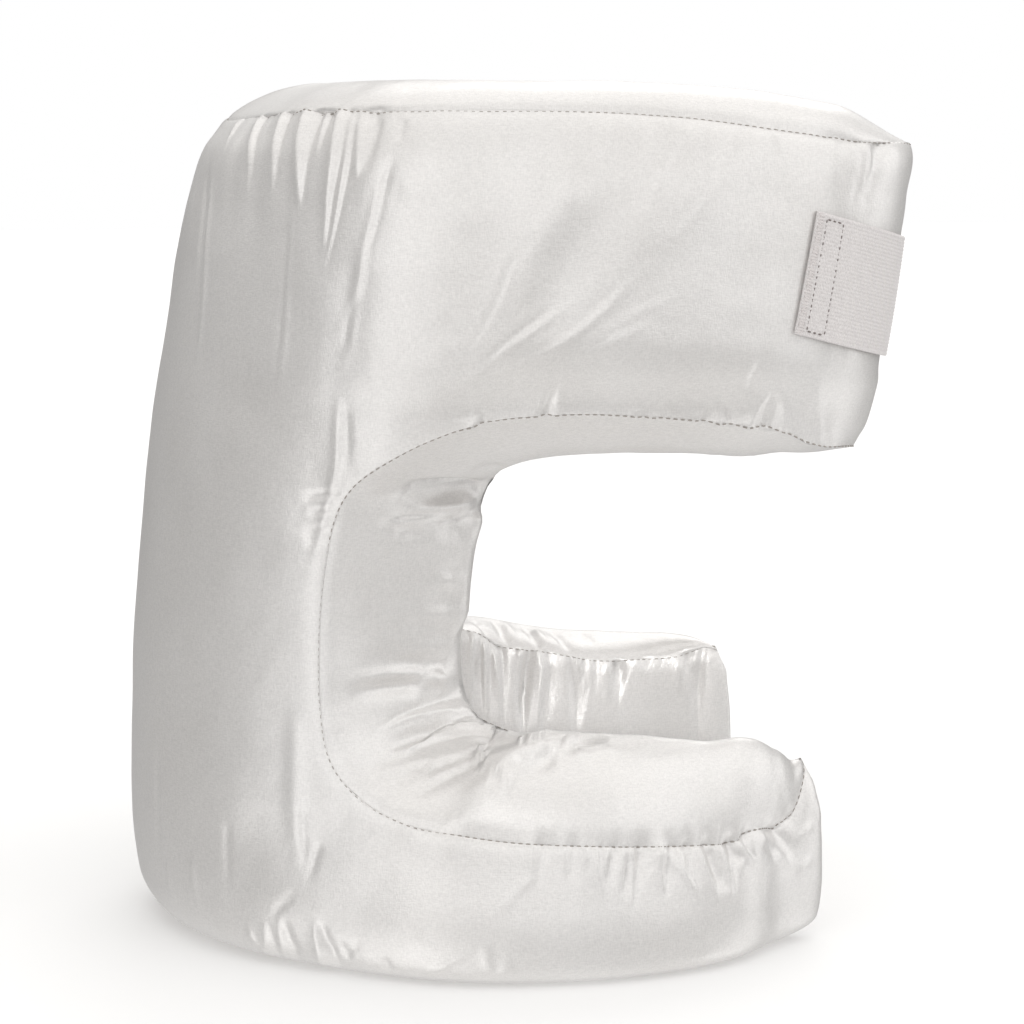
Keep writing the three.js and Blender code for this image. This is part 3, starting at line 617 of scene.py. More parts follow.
# Folds of the cover: kind, depth, half width, and its course in pixels as the camera sees it. A wedge is a
# pleat that starts wide at its seam and narrows; a line is a crease, or a ridge where its depth is negative.
# The courses were picked by hand. So were the depths and half widths at first, but a scratch program then
# multiplied many of them, group by group, so they aren't round numbers.
FOLDS = [
    ("wedge", 1, 1.4, [(236, 122), (228, 140), (221, 158)]),
    ("wedge", 1.6, 2, [(258, 118), (252, 142), (246, 200)]),
    ("wedge", 2, 2.5, [(284, 116), (276, 150), (271, 200)]),
    ("wedge", 3, 4.2, [(311, 115), (303, 150), (299, 214)]),
    ("wedge", 1.2, 1.6, [(325, 117), (321, 135), (316, 160)]),
    ("wedge", 2.4, 3, [(344, 114), (338, 150), (330, 195), (323, 262)]),
    ("wedge", 1.4, 1.8, [(353, 118), (345, 170), (336, 220), (322, 282)]),
    ("wedge", 2, 4, [(366, 117), (362, 145), (357, 182)]),
    ("line", 1.19, 1.36, [(380, 113), (374, 140), (362, 175)]),
    ("line", 0.85, 1.36, [(403, 116), (400, 132), (396, 145)]),
    ("line", 0.77, 1.49, [(396, 152), (385, 180), (371, 235), (357, 290)]),
    ("line", -0.77, 1.61, [(390, 160), (379, 195), (365, 250), (354, 300), (348, 340), (338, 385)]),
    ("line", 0.68, 1.36, [(357, 290), (347, 330), (344, 360)]),
    ("line", -0.59, 1.36, [(212, 160), (208, 220), (203, 300), (191, 400)]),
    ("line", 0.59, 1.49, [(207, 165), (202, 230), (197, 300)]),
    ("line", -0.51, 1.36, [(293, 185), (288, 240), (284, 320), (275, 410)]),
    ("line", 0.42, 1.24, [(289, 200), (282, 300), (272, 400)]),
    ("line", -0.68, 1.36, [(338, 385), (337, 430), (335, 470), (325, 510), (316, 550), (307, 585)]),
    ("line", 0.68, 1.61, [(345, 400), (347, 440), (346, 470)]),
    ("line", 0.32, 0.9, [(541, 225), (511, 265), (497, 300), (470, 350), (458, 380)]),
    ("line", -0.44, 0.99, [(452, 392), (480, 372), (510, 347), (560, 312), (592, 297)]),
    ("line", 0.44, 1.09, [(480, 366), (510, 341), (560, 305)]),
    ("line", -0.51, 0.99, [(490, 376), (520, 366), (560, 345), (600, 315), (635, 278), (662, 252)]),
    ("line", -0.32, 1.09, [(662, 252), (700, 208), (725, 175), (752, 132)]),
    ("line", -0.32, 0.99, [(565, 358), (600, 350), (625, 335), (658, 323)]),
    ("line", -0.26, 0.99, [(610, 330), (645, 310), (680, 296)]),
    ("line", -0.32, 1.19, [(700, 122), (682, 134), (667, 158), (656, 190), (640, 225)]),
    ("line", -0.38, 1.49, [(777, 126), (780, 145), (786, 160)]),
    ("line", -0.32, 1.49, [(570, 118), (573, 150), (560, 190)]),
    ("line", -0.32, 1.49, [(607, 116), (604, 140), (598, 160)]),
    ("line", -0.38, 1.09, [(655, 414), (652, 385), (668, 360), (690, 330)]),
    ("line", -0.32, 1.09, [(724, 408), (722, 380), (712, 358)]),
    ("line", -0.32, 1.19, [(840, 350), (862, 360), (872, 368)]),
    ("line", -0.26, 1.09, [(814, 378), (820, 400), (823, 435)]),
    ("wedge", 0.94, 1.7, [(543, 413), (549, 395), (556, 370)]),
    ("wedge", -0.94, 1.7, [(551, 413), (556, 395), (562, 372)]),
    ("wedge", 0.78, 1.36, [(641, 414), (644, 408), (647, 400)]),
    ("wedge", 0.78, 1.7, [(656, 415), (654, 400), (652, 385)]),
    ("wedge", 0.94, 1.53, [(701, 418), (704, 410), (707, 400)]),
    ("wedge", 1.4, 2.21, [(725, 421), (722, 405), (721, 392)]),
    ("wedge", 1.4, 2.89, [(756, 426), (762, 408), (772, 392)]),
    ("wedge", -1.25, 2.72, [(777, 428), (780, 405), (770, 385)]),
    ("line", 0.8, 1.58, [(756, 398), (752, 382), (762, 362), (770, 345)]),
    ("wedge", 0.78, 1.7, [(823, 438), (822, 415), (818, 395)]),
    ("wedge", 1.3, 2.2, [(478, 428), (479, 418), (476, 405)]),
    ("wedge", 2.4, 3.4, [(874, 143), (868, 175), (857, 214)]),
    ("line", 1.02, 1.24, [(864, 142), (862, 170), (854, 212)]),
    ("line", 0.85, 1.49, [(300, 497), (325, 494), (343, 491)]),
    ("line", 0.68, 1.36, [(305, 512), (325, 511), (340, 508)]),
    ("line", 0.77, 1.49, [(300, 532), (318, 530), (338, 521)]),
    ("line", 0.59, 1.36, [(303, 542), (320, 541), (332, 538)]),
    ("line", 0.51, 1.49, [(228, 815), (227, 850), (229, 895)]),
    ("line", -0.51, 1.24, [(192, 850), (194, 885), (201, 912)]),
    ("line", -0.42, 1.24, [(166, 860), (168, 885), (176, 908)]),
    ("line", 0.59, 1.61, [(156, 740), (156, 800), (158, 860)]),
    ("line", -1, 3.2, [(297, 700), (296, 760), (297, 820), (300, 865), (301, 890)]),
    ("line", 0.6, 1.3, [(303, 800), (304, 850), (304, 878)]),
    ("line", 0.68, 1.36, [(320, 840), (314, 860), (308, 880)]),
    ("line", 0.46, 1.22, [(298, 893), (283, 905), (270, 920)]),
    ("wedge", 1.2, 3.6, [(274, 952), (270, 935), (266, 918)]),
    ("wedge", 1.2, 3.6, [(292, 957), (285, 938), (281, 915)]),
    ("wedge", 2, 4, [(330, 962), (322, 942), (315, 918)]),
    ("line", 0.71, 1.45, [(338, 958), (326, 940), (322, 918)]),
    ("line", 0.61, 1.45, [(300, 955), (290, 935), (284, 915)]),
    ("line", 0.85, 1.36, [(350, 962), (344, 950), (338, 940)]),
    ("line", 0.46, 1.12, [(346, 955), (355, 947), (362, 940)]),
    ("line", 0.77, 1.24, [(390, 972), (386, 962), (385, 955)]),
    ("line", -0.59, 1.36, [(260, 945), (252, 935), (248, 925)]),
    ("line", -0.51, 1.24, [(538, 873), (520, 888), (505, 905), (488, 920)]),
    ("line", -0.51, 1.24, [(484, 943), (465, 953), (440, 968), (420, 974)]),
    ("line", -0.51, 1.49, [(483, 940), (487, 960), (490, 978)]),
    ("line", -0.51, 1.49, [(510, 960), (505, 970), (501, 980)]),
    ("wedge", 1.12, 2, [(538, 845), (536, 870), (534, 890)]),
    ("wedge", 1.12, 2.2, [(570, 847), (568, 868), (564, 888)]),
    ("wedge", 1.12, 2, [(589, 848), (588, 860), (586, 875)]),
    ("wedge", 1.68, 2, [(600, 849), (601, 870), (605, 893)]),
    ("wedge", 2.1, 2, [(612, 850), (608, 870), (606, 897)]),
    ("wedge", 2.1, 2, [(626, 851), (624, 875), (622, 903)]),
    ("wedge", 2.52, 2.2, [(636, 852), (634, 880), (632, 915)]),
    ("line", 1.19, 1.12, [(630, 852), (629, 875), (628, 900)]),
    ("line", 1.19, 1.12, [(646, 851), (644, 862), (648, 876)]),
    ("wedge", 2.24, 2.6, [(665, 850), (664, 872), (664, 900)]),
    ("wedge", 1.96, 2.2, [(672, 849), (676, 862), (680, 872)]),
    ("wedge", 2.52, 2.6, [(684, 848), (688, 872), (700, 895)]),
    ("wedge", 2.27, 2.16, [(704, 845), (710, 870), (722, 898)]),
    ("line", 1.54, 1.24, [(711, 845), (718, 868), (727, 896)]),
    ("wedge", 2.27, 2.34, [(726, 842), (730, 865), (735, 900)]),
    ("line", 1.78, 1.36, [(732, 840), (737, 855), (745, 862)]),
    ("wedge", 2.02, 2.16, [(743, 838), (748, 852), (757, 862)]),
    ("wedge", 1.68, 3.74, [(768, 830), (776, 845), (790, 860), (794, 866)]),
    ("line", 1.28, 2.05, [(766, 838), (772, 850), (781, 856)]),
    ("line", 1.14, 1.77, [(775, 828), (790, 845), (797, 862)]),
    ("line", 0.86, 1.77, [(788, 803), (792, 820), (800, 833)]),
    ("line", -0.95, 1.36, [(813, 825), (806, 832), (797, 836)]),
    ("wedge", 1.98, 2.4, [(462, 702), (430, 708), (400, 718), (372, 735)]),
    ("wedge", 2.86, 3.6, [(512, 734), (470, 729), (432, 739), (400, 749), (376, 753)]),
    ("line", 1.31, 1.86, [(485, 729), (445, 729), (415, 736), (392, 748)]),
    ("wedge", 1.76, 2.6, [(515, 742), (475, 752), (430, 766), (380, 783)]),
    ("wedge", 2.42, 3, [(534, 745), (500, 752), (462, 768), (432, 783), (414, 797)]),
    ("wedge", 2.2, 2.4, [(545, 748), (512, 764), (475, 782), (447, 792)]),
    ("wedge", 2.64, 2.6, [(570, 746), (545, 753), (520, 771), (492, 786), (470, 796)]),
    ("wedge", 2.42, 2.2, [(605, 744), (572, 747), (550, 757), (522, 776), (490, 797)]),
    ("line", 0.85, 1.49, [(400, 792), (388, 800), (380, 806)]),
    ("line", 0.75, 1.36, [(452, 812), (440, 818), (428, 824)]),
    ("line", 0.75, 1.61, [(640, 752), (668, 746), (700, 741)]),
    ("line", 3.18, 2.48, [(492, 487), (460, 487), (430, 487), (402, 492)]),
    ("line", -1.73, 1.86, [(482, 502), (460, 506), (430, 510), (400, 513)]),
    ("line", 2.6, 2.48, [(480, 508), (455, 516), (425, 513), (385, 520)]),
    ("line", 2.02, 3.1, [(474, 530), (455, 528), (435, 535)]),
    ("line", -1.16, 1.49, [(405, 515), (395, 530), (383, 545)]),
    ("line", 0.86, 3.17, [(464, 594), (445, 595), (425, 592)]),
    ("line", 1.01, 2.42, [(460, 622), (440, 625), (415, 626), (395, 628)]),
    ("line", 1.95, 2.85, [(458, 664), (435, 666), (410, 665), (380, 668)]),
    ("line", -1.73, 2.28, [(460, 676), (430, 674), (395, 674), (350, 680), (335, 686)]),
    ("line", 2.17, 2.56, [(430, 685), (405, 685), (375, 689), (342, 693)]),
    ("line", -1.44, 1.36, [(457, 680), (440, 678), (425, 676)]),
    ("line", 2.02, 1.24, [(452, 700), (448, 695), (446, 693)]),
    ("line", 1.87, 2.79, [(505, 465), (492, 470), (478, 466)]),
    ("line", 0.59, 1.36, [(668, 424), (680, 437), (692, 448)]),
    ("line", 1.5, 1.6, [(488, 618), (498, 626), (505, 638), (512, 650)]),
    ("line", 1.3, 1.5, [(474, 620), (484, 628), (492, 640)]),
    ("line", 1.6, 1.7, [(516, 623), (528, 630), (537, 642), (543, 654)]),
    ("line", 1.7, 1.7, [(548, 630), (558, 636), (567, 646), (573, 656)]),
    ("line", 0.9, 1.4, [(580, 633), (588, 638), (594, 645)]),
    ("line", -1, 1.6, [(500, 620), (510, 630), (517, 645)]),
    ("line", -1, 1.6, [(530, 626), (541, 636), (548, 650)]),
    ("wedge", 2.34, 2.4, [(478, 640), (474, 665), (471, 695)]),
    ("line", 1.77, 1.36, [(482, 645), (481, 680), (480, 712)]),
    ("wedge", 2.08, 2, [(488, 645), (487, 680), (483, 722)]),
    ("wedge", 2.34, 2.2, [(497, 648), (501, 680), (497, 730)]),
    ("line", 1.99, 1.61, [(512, 650), (521, 672), (519, 700), (511, 735)]),
    ("wedge", 2.6, 2.2, [(525, 650), (524, 680), (519, 710), (512, 738)]),
    ("line", 2.21, 1.36, [(530, 652), (527, 680), (522, 710), (518, 740)]),
    ("wedge", 2.08, 2, [(545, 686), (540, 710), (532, 740)]),
    ("wedge", 2.08, 2.2, [(543, 652), (548, 675), (553, 695)]),
    ("line", 2.43, 1.36, [(568, 654), (576, 680), (579, 710), (580, 740)]),
    ("wedge", 2.08, 2, [(580, 656), (583, 680), (590, 715)]),
    ("wedge", 1.3, 2, [(592, 658), (594, 675), (596, 690)]),
    ("line", 2.43, 1.36, [(613, 659), (620, 672), (626, 690)]),
    ("wedge", 1.56, 2, [(612, 668), (617, 685), (622, 700)]),
    ("wedge", 1.04, 2, [(642, 660), (646, 668), (650, 678)]),
    ("wedge", 1.56, 2.2, [(683, 665), (690, 685), (693, 705), (692, 738)]),
    ("line", -1.33, 1.49, [(697, 700), (697, 720), (696, 738)]),
    ("line", -0.88, 1.24, [(708, 712), (700, 728), (696, 738)]),
    ("line", -2.21, 8.06, [(590, 150), (556, 205), (528, 245), (508, 300), (490, 345)]),
    ("line", 1.77, 1.36, [(492, 486), (460, 486), (430, 487), (402, 491)]),
    ("line", -1.77, 1.49, [(488, 500), (460, 504), (430, 508), (400, 512)]),
    ("wedge", 2.08, 2.2, [(490, 512), (460, 512), (430, 515), (400, 520), (378, 528)]),
    ("wedge", 1.56, 2, [(476, 520), (455, 524), (436, 533)]),
    ("line", 3.2, 3, [(396, 493), (425, 490), (455, 490), (486, 487)]),
    ("line", -1.8, 2, [(480, 505), (452, 511), (425, 514), (392, 521)]),
    ("line", 1.3, 2, [(384, 521), (395, 531), (412, 541)]),
    ("line", 1.2, 1.8, [(400, 524), (415, 532), (432, 536)]),
    ("line", 0.9, 1.8, [(465, 571), (452, 572), (438, 577)]),
    ("line", -0.8, 1.8, [(465, 579), (450, 580), (436, 584)]),
    ("line", 0.7, 2, [(464, 604), (445, 605), (415, 606)]),
    ("line", 0.7, 2, [(460, 634), (437, 637), (408, 640)]),
    ("line", -0.9, 1.4, [(813, 858), (806, 866), (797, 872)]),
    ("line", 0.9, 2.4, [(345, 772), (385, 762), (430, 748), (478, 733)]),
    ("line", 0.9, 2.4, [(365, 792), (410, 776), (450, 760), (482, 745)]),
    ("line", 0.8, 2.2, [(400, 800), (435, 784), (465, 766), (492, 750)]),
    ("line", 0.9, 2.4, [(375, 748), (420, 735), (468, 722)]),
    ("line", 2, 3.2, [(470, 488), (440, 490), (410, 490), (385, 492)]),
]
LOBE_STRIP_TOP = 130
LONGEST_STEP = 25
PLEAT_SHARE = 0.9
WEDGE_TIP = 0.12
# A fold on the hidden side is moved by up to this much, and its depth is multiplied by a share between these.
MIRROR_SHIFT = 7
MIRROR_DEPTHS = (0.5, 1.1)
LIT_FROM = np.array([0.75, -0.2, 0.6])


def smooth_path(path, steps=5):
    points = np.array(path, float)
    if len(points) < 3:
        return lerp(points[0], points[-1], np.linspace(0, 1, steps + 1)[:, None])
    padded = np.vstack([2 * points[0] - points[1], points, 2 * points[-1] - points[-2]])
    part = np.linspace(0, 1, steps, endpoint=False)[:, None]
    spans = []
    for p0, p1, p2, p3 in zip(padded, padded[1:], padded[2:], padded[3:]):
        spans.append(p1 + 0.5 * part * (p2 - p0 + part * (2 * p0 - 5 * p1 + 4 * p2 - p3
                                                         + part * (3 * (p1 - p2) + p3 - p0))))
    return np.vstack([*spans, points[-1:]])


def seen_course(tree, path):
    """A fold's course on the cushion, from its course in the picture."""
    hits = []
    for x, y in smooth_path(path):
        right, down = (x - PICTURE_SIZE / 2) / FOCAL_LENGTH, (y - PICTURE_SIZE / 2) / FOCAL_LENGTH
        hit = tree.ray_cast(EYE, VIEW_AXES @ Vector((right, -down, -1)))[0]
        if hit:
            hits.append(tuple(hit))
    if len(hits) < 3:
        return hits
    hits = np.array(hits)
    far = np.median(hits[:, 1]) > 0
    hits = hits[(hits[:, 1] > 0) == far]
    hits = hits[np.append(True, np.linalg.norm(np.diff(hits, axis=0), axis=1) > 0.1)]
    steps = np.linalg.norm(np.diff(hits, axis=0), axis=1)
    jumps = np.flatnonzero(steps > LONGEST_STEP)
    return hits[:jumps[0] + 1] if len(jumps) else hits


def mirrored_course(tree, line, shift):
    """The same course on the other side, moved a little."""
    other = np.array([tree.find_nearest(Vector(place))[0] for place in line * [1, -1, 1] + shift])
    return other[np.append(True, np.linalg.norm(np.diff(other, axis=0), axis=1) > 0.1)]


def lay_fold(points, normals, regions, kind, depth, width, line):
    """The vertices that a fold moves, and how far."""
    reach = 3.2 * width + 3
    chosen = np.flatnonzero(((points > line.min(0) - reach) & (points < line.max(0) + reach)).all(1))
    if len(chosen) == 0:
        return chosen, 0, None
    middle = line[len(line) // 2]
    home = regions[chosen[np.argmin(np.sum((points[chosen] - middle) ** 2, 1))]]
    chosen = chosen[regions[chosen] == home]
    at, normal = points[chosen], normals[chosen]
    lengths = np.linalg.norm(np.diff(line, axis=0), axis=1)
    total, done = lengths.sum(), 0
    distance, run = np.full(len(at), np.inf), np.zeros(len(at))
    away, ahead = np.zeros_like(at), np.zeros_like(at)
    for start, end, length in zip(line, line[1:], lengths):
        step = end - start
        part = np.clip((at - start) @ step / length ** 2, 0, 1)
        offset = at - start - step * part[:, None]
        offset -= normal * np.sum(offset * normal, 1, keepdims=True)
        gap = np.linalg.norm(offset, axis=1)
        better = gap < distance
        distance = np.where(better, gap, distance)
        run = np.where(better, (done + part * length) / total, run)
        away[better], ahead[better] = offset[better], step / length
        done += length
    if kind == "wedge":
        across = np.cross(normal, ahead)
        across *= np.sign(across @ LIT_FROM)[:, None]
        left = WEDGE_TIP + (1 - WEDGE_TIP) * (1 - run)
        share = np.sum(away * across, 1) / (width * left)
        facet = np.clip(share, -1, 1) * np.exp(-np.maximum(distance / (width * left) - 1, 0) / 1.5)
        fade = left * (1 - smoothstep(run, 0.8, 1)) * (distance < reach)
        return chosen, -PLEAT_SHARE * depth * fade * facet, home
    ends = smoothstep(run, 0, 0.25) * (1 - smoothstep(run, 0.6, 1))
    return chosen, -depth * ends * np.exp(-(distance / width) ** 2 / 2), home


def pucker(distance, along, period, seed, lean=0.15):
    """Gathers that start at a seam and fade away from it."""
    wander = along + lean * distance * noise(np.stack([along / 60, 0 * along, 0 * along], -1), seed + 1) * 4
    places = np.stack([wander / period, distance / 60, 0 * along], -1)
    value = noise(places, seed)
    return value * np.abs(value) ** 0.3


# Gathers along the seams: seam, region, their share on the near and the far side, and how far they reach.
GATHERS = [
    ("top", OUTER_PANEL, 0.5, 1.1, 16), ("top", STRIP, 0.5, 0.6, 12),
    ("opening", OUTER_PANEL, 0.45, 1.0, 15), ("opening", STRIP, 0.8, 1.0, 16),
    ("cavity", STRIP, 0.8, 0.9, 14), ("cavity", CAVITY_PANEL, 1.1, 1.0, 18),
]
# The cover's lumps, the largest first: how high and how far apart.
LUMPS = [(1.0, 55), (0.45, 24), (0.12, 9)]
GATHER_PITCH = 7
FINE_GATHER_PITCH = 3.4
SEAM_REACH = 48
SEAM_DRAW = dict(depth=1.9, width=4.5, groove=0.6, groove_width=1.2, cavity_share=0.35)
ROLL_IN = dict(depth=7, panel_reach=38, strip_reach=44, lift=0.6)


def rolled_in(points, regions, chains):
    """How far the cover by the arm's lower seam is drawn sideways towards the wall's middle."""
    shift = np.zeros(points.shape)
    for side, seams in chains.items():
        chosen, distance, _ = near_chain(points, seams["opening"], SEAM_REACH)
        x, y, z = points[chosen].T
        own = (np.sign(y) != -side) & (x > -95) & (z > 195) & (regions[chosen] != CAVITY_PANEL)
        reach = np.where(regions[chosen] == OUTER_PANEL, ROLL_IN["panel_reach"], ROLL_IN["strip_reach"])
        roll = ROLL_IN["depth"] * (1 - smoothstep(distance / reach, 0, 1))
        roll = roll * smoothstep(x, -75, -20) * smoothstep(z, 195, 208) * (1 - 0.5 * smoothstep(x, 95, 122))
        shift[chosen[own], 1] = -side * roll[own]
        shift[chosen[own], 2] = (ROLL_IN["lift"] * roll * (1 - smoothstep(x, 92, 116)))[own]
    return shift


def cover_relief(points, faces, normals, regions, chains):
    """How far each vertex of the smooth cushion moves outwards."""
    height = sum(high * noise(points / apart, seed) for seed, (high, apart) in enumerate(LUMPS, 1))
    drawn = np.zeros(len(points))
    for side, seams in chains.items():
        for seam in ("top", "opening", "cavity"):
            chosen, distance, along = near_chain(points, seams[seam], SEAM_REACH)
            own = np.sign(points[chosen, 1]) != -side
            chosen, distance, along = chosen[own], distance[own], along[own]
            depth = SEAM_DRAW["depth"] * (SEAM_DRAW["cavity_share"] if seam == "cavity" else 1)
            draw = (depth * np.exp(-distance / SEAM_DRAW["width"])
                    + SEAM_DRAW["groove"] * np.exp(-distance / SEAM_DRAW["groove_width"]))
            under_arm = smoothstep(points[chosen, 2], 188, 212) * (seam == "opening")
            drawn[chosen] = np.maximum(drawn[chosen], draw * (1 - 0.9 * under_arm))
            for name, region, near_share, far_share, reach in GATHERS:
                here = (regions[chosen] == region) if name == seam else np.zeros(len(chosen), bool)
                share = near_share if side == NEAR else far_share
                gathers = pucker(distance, along, GATHER_PITCH, region + 5 * side + 20)
                gathers = gathers + 0.5 * pucker(distance, along, FINE_GATHER_PITCH, region + 9)
                gathers = gathers * np.exp(-distance / reach) * (1 - np.exp(-distance / 1.5)) * share
                strength = 0.65 + 0.6 * noise(np.stack([along / 45, 0 * along, 0 * along], -1), 4 + side)
                gathers = gathers * strength * smoothstep(np.abs(points[chosen, 1]), 0, 8)
                height[chosen[here]] += gathers[here]
    height -= drawn
    turned = np.degrees(np.arctan2(np.abs(points[:, 1]), points[:, 0]))
    on_outer = np.flatnonzero(regions == OUTER_PANEL)
    for from_angle, from_z, to_angle, to_z, depth, width in TROUGHS:
        step = np.array([(to_angle - from_angle) * math.radians(MEAN_RADIUS), to_z - from_z])
        at = np.stack([(turned[on_outer] - from_angle) * math.radians(MEAN_RADIUS),
                       points[on_outer, 2] - from_z], -1)
        part = np.clip(at @ step / (step @ step), 0, 1)
        gap = np.linalg.norm(at - part[:, None] * step, axis=1)
        height[on_outer] -= TROUGH_SHARE * depth * (1 - part ** 2) * np.exp(-(gap / width) ** 2)
    shifts = np.random.default_rng(5)
    tree = bvhtree.BVHTree.FromPolygons(points.tolist(), [row for block in faces for row in block.tolist()])
    for kind, depth, width, path in FOLDS:
        line = seen_course(tree, path)
        shift = shifts.uniform(-MIRROR_SHIFT, MIRROR_SHIFT, 3) * [1, 0, 0.4]
        other_depth = depth * shifts.uniform(*MIRROR_DEPTHS)
        if len(line) < 3:
            continue
        chosen, moved, home = lay_fold(points, normals, regions, kind, depth, width, line)
        height[chosen] += moved
        if home != STRIP or line[0][2] > LOBE_STRIP_TOP:
            other = mirrored_course(tree, line, shift)
            chosen, moved, other_home = lay_fold(points, normals, regions, kind, other_depth, width, other)
            if other_home == home:
                height[chosen] += moved
    return height


def capped(faces):
    """Closes one side's open edge at the back with a single flat face inside the foam."""
    edges = np.vstack([np.stack([block[:, column], block[:, (column + 1) % block.shape[1]]], -1)
                       for block in faces for column in range(block.shape[1])])
    known = set(map(tuple, edges.tolist()))
    follow = {b: a for a, b in known if (b, a) not in known}
    loop = [next(iter(follow))]
    while follow[loop[-1]] != loop[0]:
        loop.append(follow[loop[-1]])
    return loop


def make_mesh(name, points, faces, material, normals=None):
    """A smooth mesh object from millimetre points, with its unused points left out."""
    rows = [row for block in faces for row in (block.tolist() if isinstance(block, np.ndarray) else [block])]
    used = np.unique(np.concatenate([np.asarray(row) for row in rows]))
    renumber = np.zeros(len(points), int)
    renumber[used] = np.arange(len(used))
    mesh = bpy.data.meshes.new(name)
    shifted = (points[used] + [ORIGIN_SHIFT, 0, 0]) * MILLIMETRE
    mesh.from_pydata(shifted.tolist(), [], [renumber[row].tolist() for row in rows])
    mesh.polygons.foreach_set("use_smooth", np.ones(len(mesh.polygons), bool))
    mesh.update()
    if normals is not None:
        mesh.normals_split_custom_set_from_vertices(normals[used].tolist())
    piece = bpy.data.objects.new(name, mesh)
    bpy.context.scene.collection.objects.link(piece)
    mesh.materials.append(material)
    return piece


# Thread, laid as small closed spindles

def spindles(starts, ends, normals, radius):
    """Short stitches from start to end, four-sided and pointed at both ends: points and faces."""
    ahead = ends - starts
    across = np.cross(normals, ahead)
    across /= np.linalg.norm(across, axis=1, keepdims=True)
    points = [starts, ends]
    for part in (0.22, 0.78):
        middle = lerp(starts, ends, part)
        for side, up in ((1, 0), (0, 1), (-1, 0), (0, -1)):
            points.append(middle + radius * (side * across + up * normals))
    points = np.stack(points, 1)
    faces = []
    for step in range(4):
        after = (step + 1) % 4
        faces.append([0, 2 + after, 2 + step, 2 + step])
        faces.append([2 + step, 2 + after, 6 + after, 6 + step])
        faces.append([1, 6 + step, 6 + after, 6 + after])
    quads = np.array(faces)
    numbers = np.arange(len(starts))[:, None, None] * points.shape[1] + quads[None]
    return points.reshape(-1, 3), [list(dict.fromkeys(face)) for face in numbers.reshape(-1, 4).tolist()]


def stitches_along(line, normals, pitch, length, lift, radius):
    """Stitches of a real length at an even pitch along a line of points."""
    run = np.concatenate([[0], np.cumsum(np.linalg.norm(np.diff(line, axis=0), axis=1))])
    first = np.arange(pitch, run[-1] - pitch, pitch)

    def at(places, values):
        return np.stack([np.interp(places, run, column) for column in values.T], -1)

    up = at(first + length / 2, normals)
    up /= np.linalg.norm(up, axis=1, keepdims=True)
    return spindles(at(first, line) + up * lift, at(first + length, line) + up * lift, up, radius)


def joined(parts):
    """Several (points, faces) as one."""
    points, faces, count = [], [], 0
    for some_points, some_faces in parts:
        points.append(some_points)
        faces.extend([[corner + count for corner in face] for face in some_faces])
        count += len(some_points)
    return np.vstack(points), faces


# The elastic strap, a millimetre lower than the solid's and tilted by 2 degrees more

STRAP = dict(width=50, thickness=1.6, clearance=0.9, start_x=99, front_x=145, front_z=277,
             tilt=math.radians(15), end_lean=math.radians(11), leaves_at=0.6)
RIB_PITCH = 1.5
ROWS_PER_RIB = 4
STRAP_WALL_STEPS = 64
STRAP_END_STEPS = 56
STRAP_SPAN_STEPS = 40


def arm_end_points(down, across):
    def edge(layout, radius):
        column = layout["arm"][-1]
        angle, z = lerp(column[-1], column[0], down[:, None]).T
        return on_wall(radius, angle, z)

    outer, inner = edge(OUTER_LAYOUT, outer_radius), edge(INNER_LAYOUT, inner_radius)
    reach = lerp(REACH["arm_seam"], REACH["arm_middle"], 4 * down * (1 - down))[:, None]
    return rib_curve(outer, inner, reach, 1, np.array([across]))[:, 0]


def strap_lines(offsets):
    """Lengthwise lines on the near side, from the stitched end to the middle of the opening."""
    tilt = STRAP["tilt"]

    def height_at(x):
        return STRAP["front_z"] + (offsets - (x - STRAP["front_x"]) * math.sin(tilt)) / math.cos(tilt)

    def on_arm_end(across):
        top, foot = np.zeros(len(offsets)), np.ones(len(offsets))
        for _ in range(30):
            middle = (top + foot) / 2
            point = arm_end_points(middle, across)
            above = point[:, 2] > height_at(point[:, 0])
            top, foot = np.where(above, middle, top), np.where(above, foot, middle)
        return arm_end_points((top + foot) / 2, across)

    edge = on_arm_end(0)
    start = STRAP["start_x"] + offsets * math.sin(STRAP["end_lean"])
    lines = []
    for part in np.linspace(0, 1, STRAP_WALL_STEPS, endpoint=False):
        x = lerp(start, edge[:, 0], part)
        z = height_at(x)
        lines.append(on_wall(outer_radius, angle_at_x(outer_radius, x, z), z))
    for part in np.linspace(0, STRAP["leaves_at"], STRAP_END_STEPS + 1):
        lines.append(on_arm_end(part))
    front = lines[-1]
    for part in np.linspace(0, 1, STRAP_SPAN_STEPS + 1)[1:]:
        lines.append(front * [1, 1 - part, 1])
    return np.stack(lines, 1)


def strap_grid():
    count = round(STRAP["width"] / RIB_PITCH) * ROWS_PER_RIB
    offsets = np.linspace(-STRAP["width"] / 2, STRAP["width"] / 2, count + 1)
    near = strap_lines(offsets)
    lines = np.concatenate([near, near[:, -2::-1] * [1, -1, 1]], 1)
    ahead = np.gradient(lines, axis=1)
    across = np.array([math.sin(STRAP["tilt"]), 0, math.cos(STRAP["tilt"])])
    normals = np.cross(ahead, across)
    normals /= np.linalg.norm(normals, axis=2, keepdims=True)
    middle = lines[len(lines) // 2]
    run = np.concatenate([[0], np.cumsum(np.linalg.norm(np.diff(middle, axis=0), axis=1))])
    return offsets, run, lines, normals


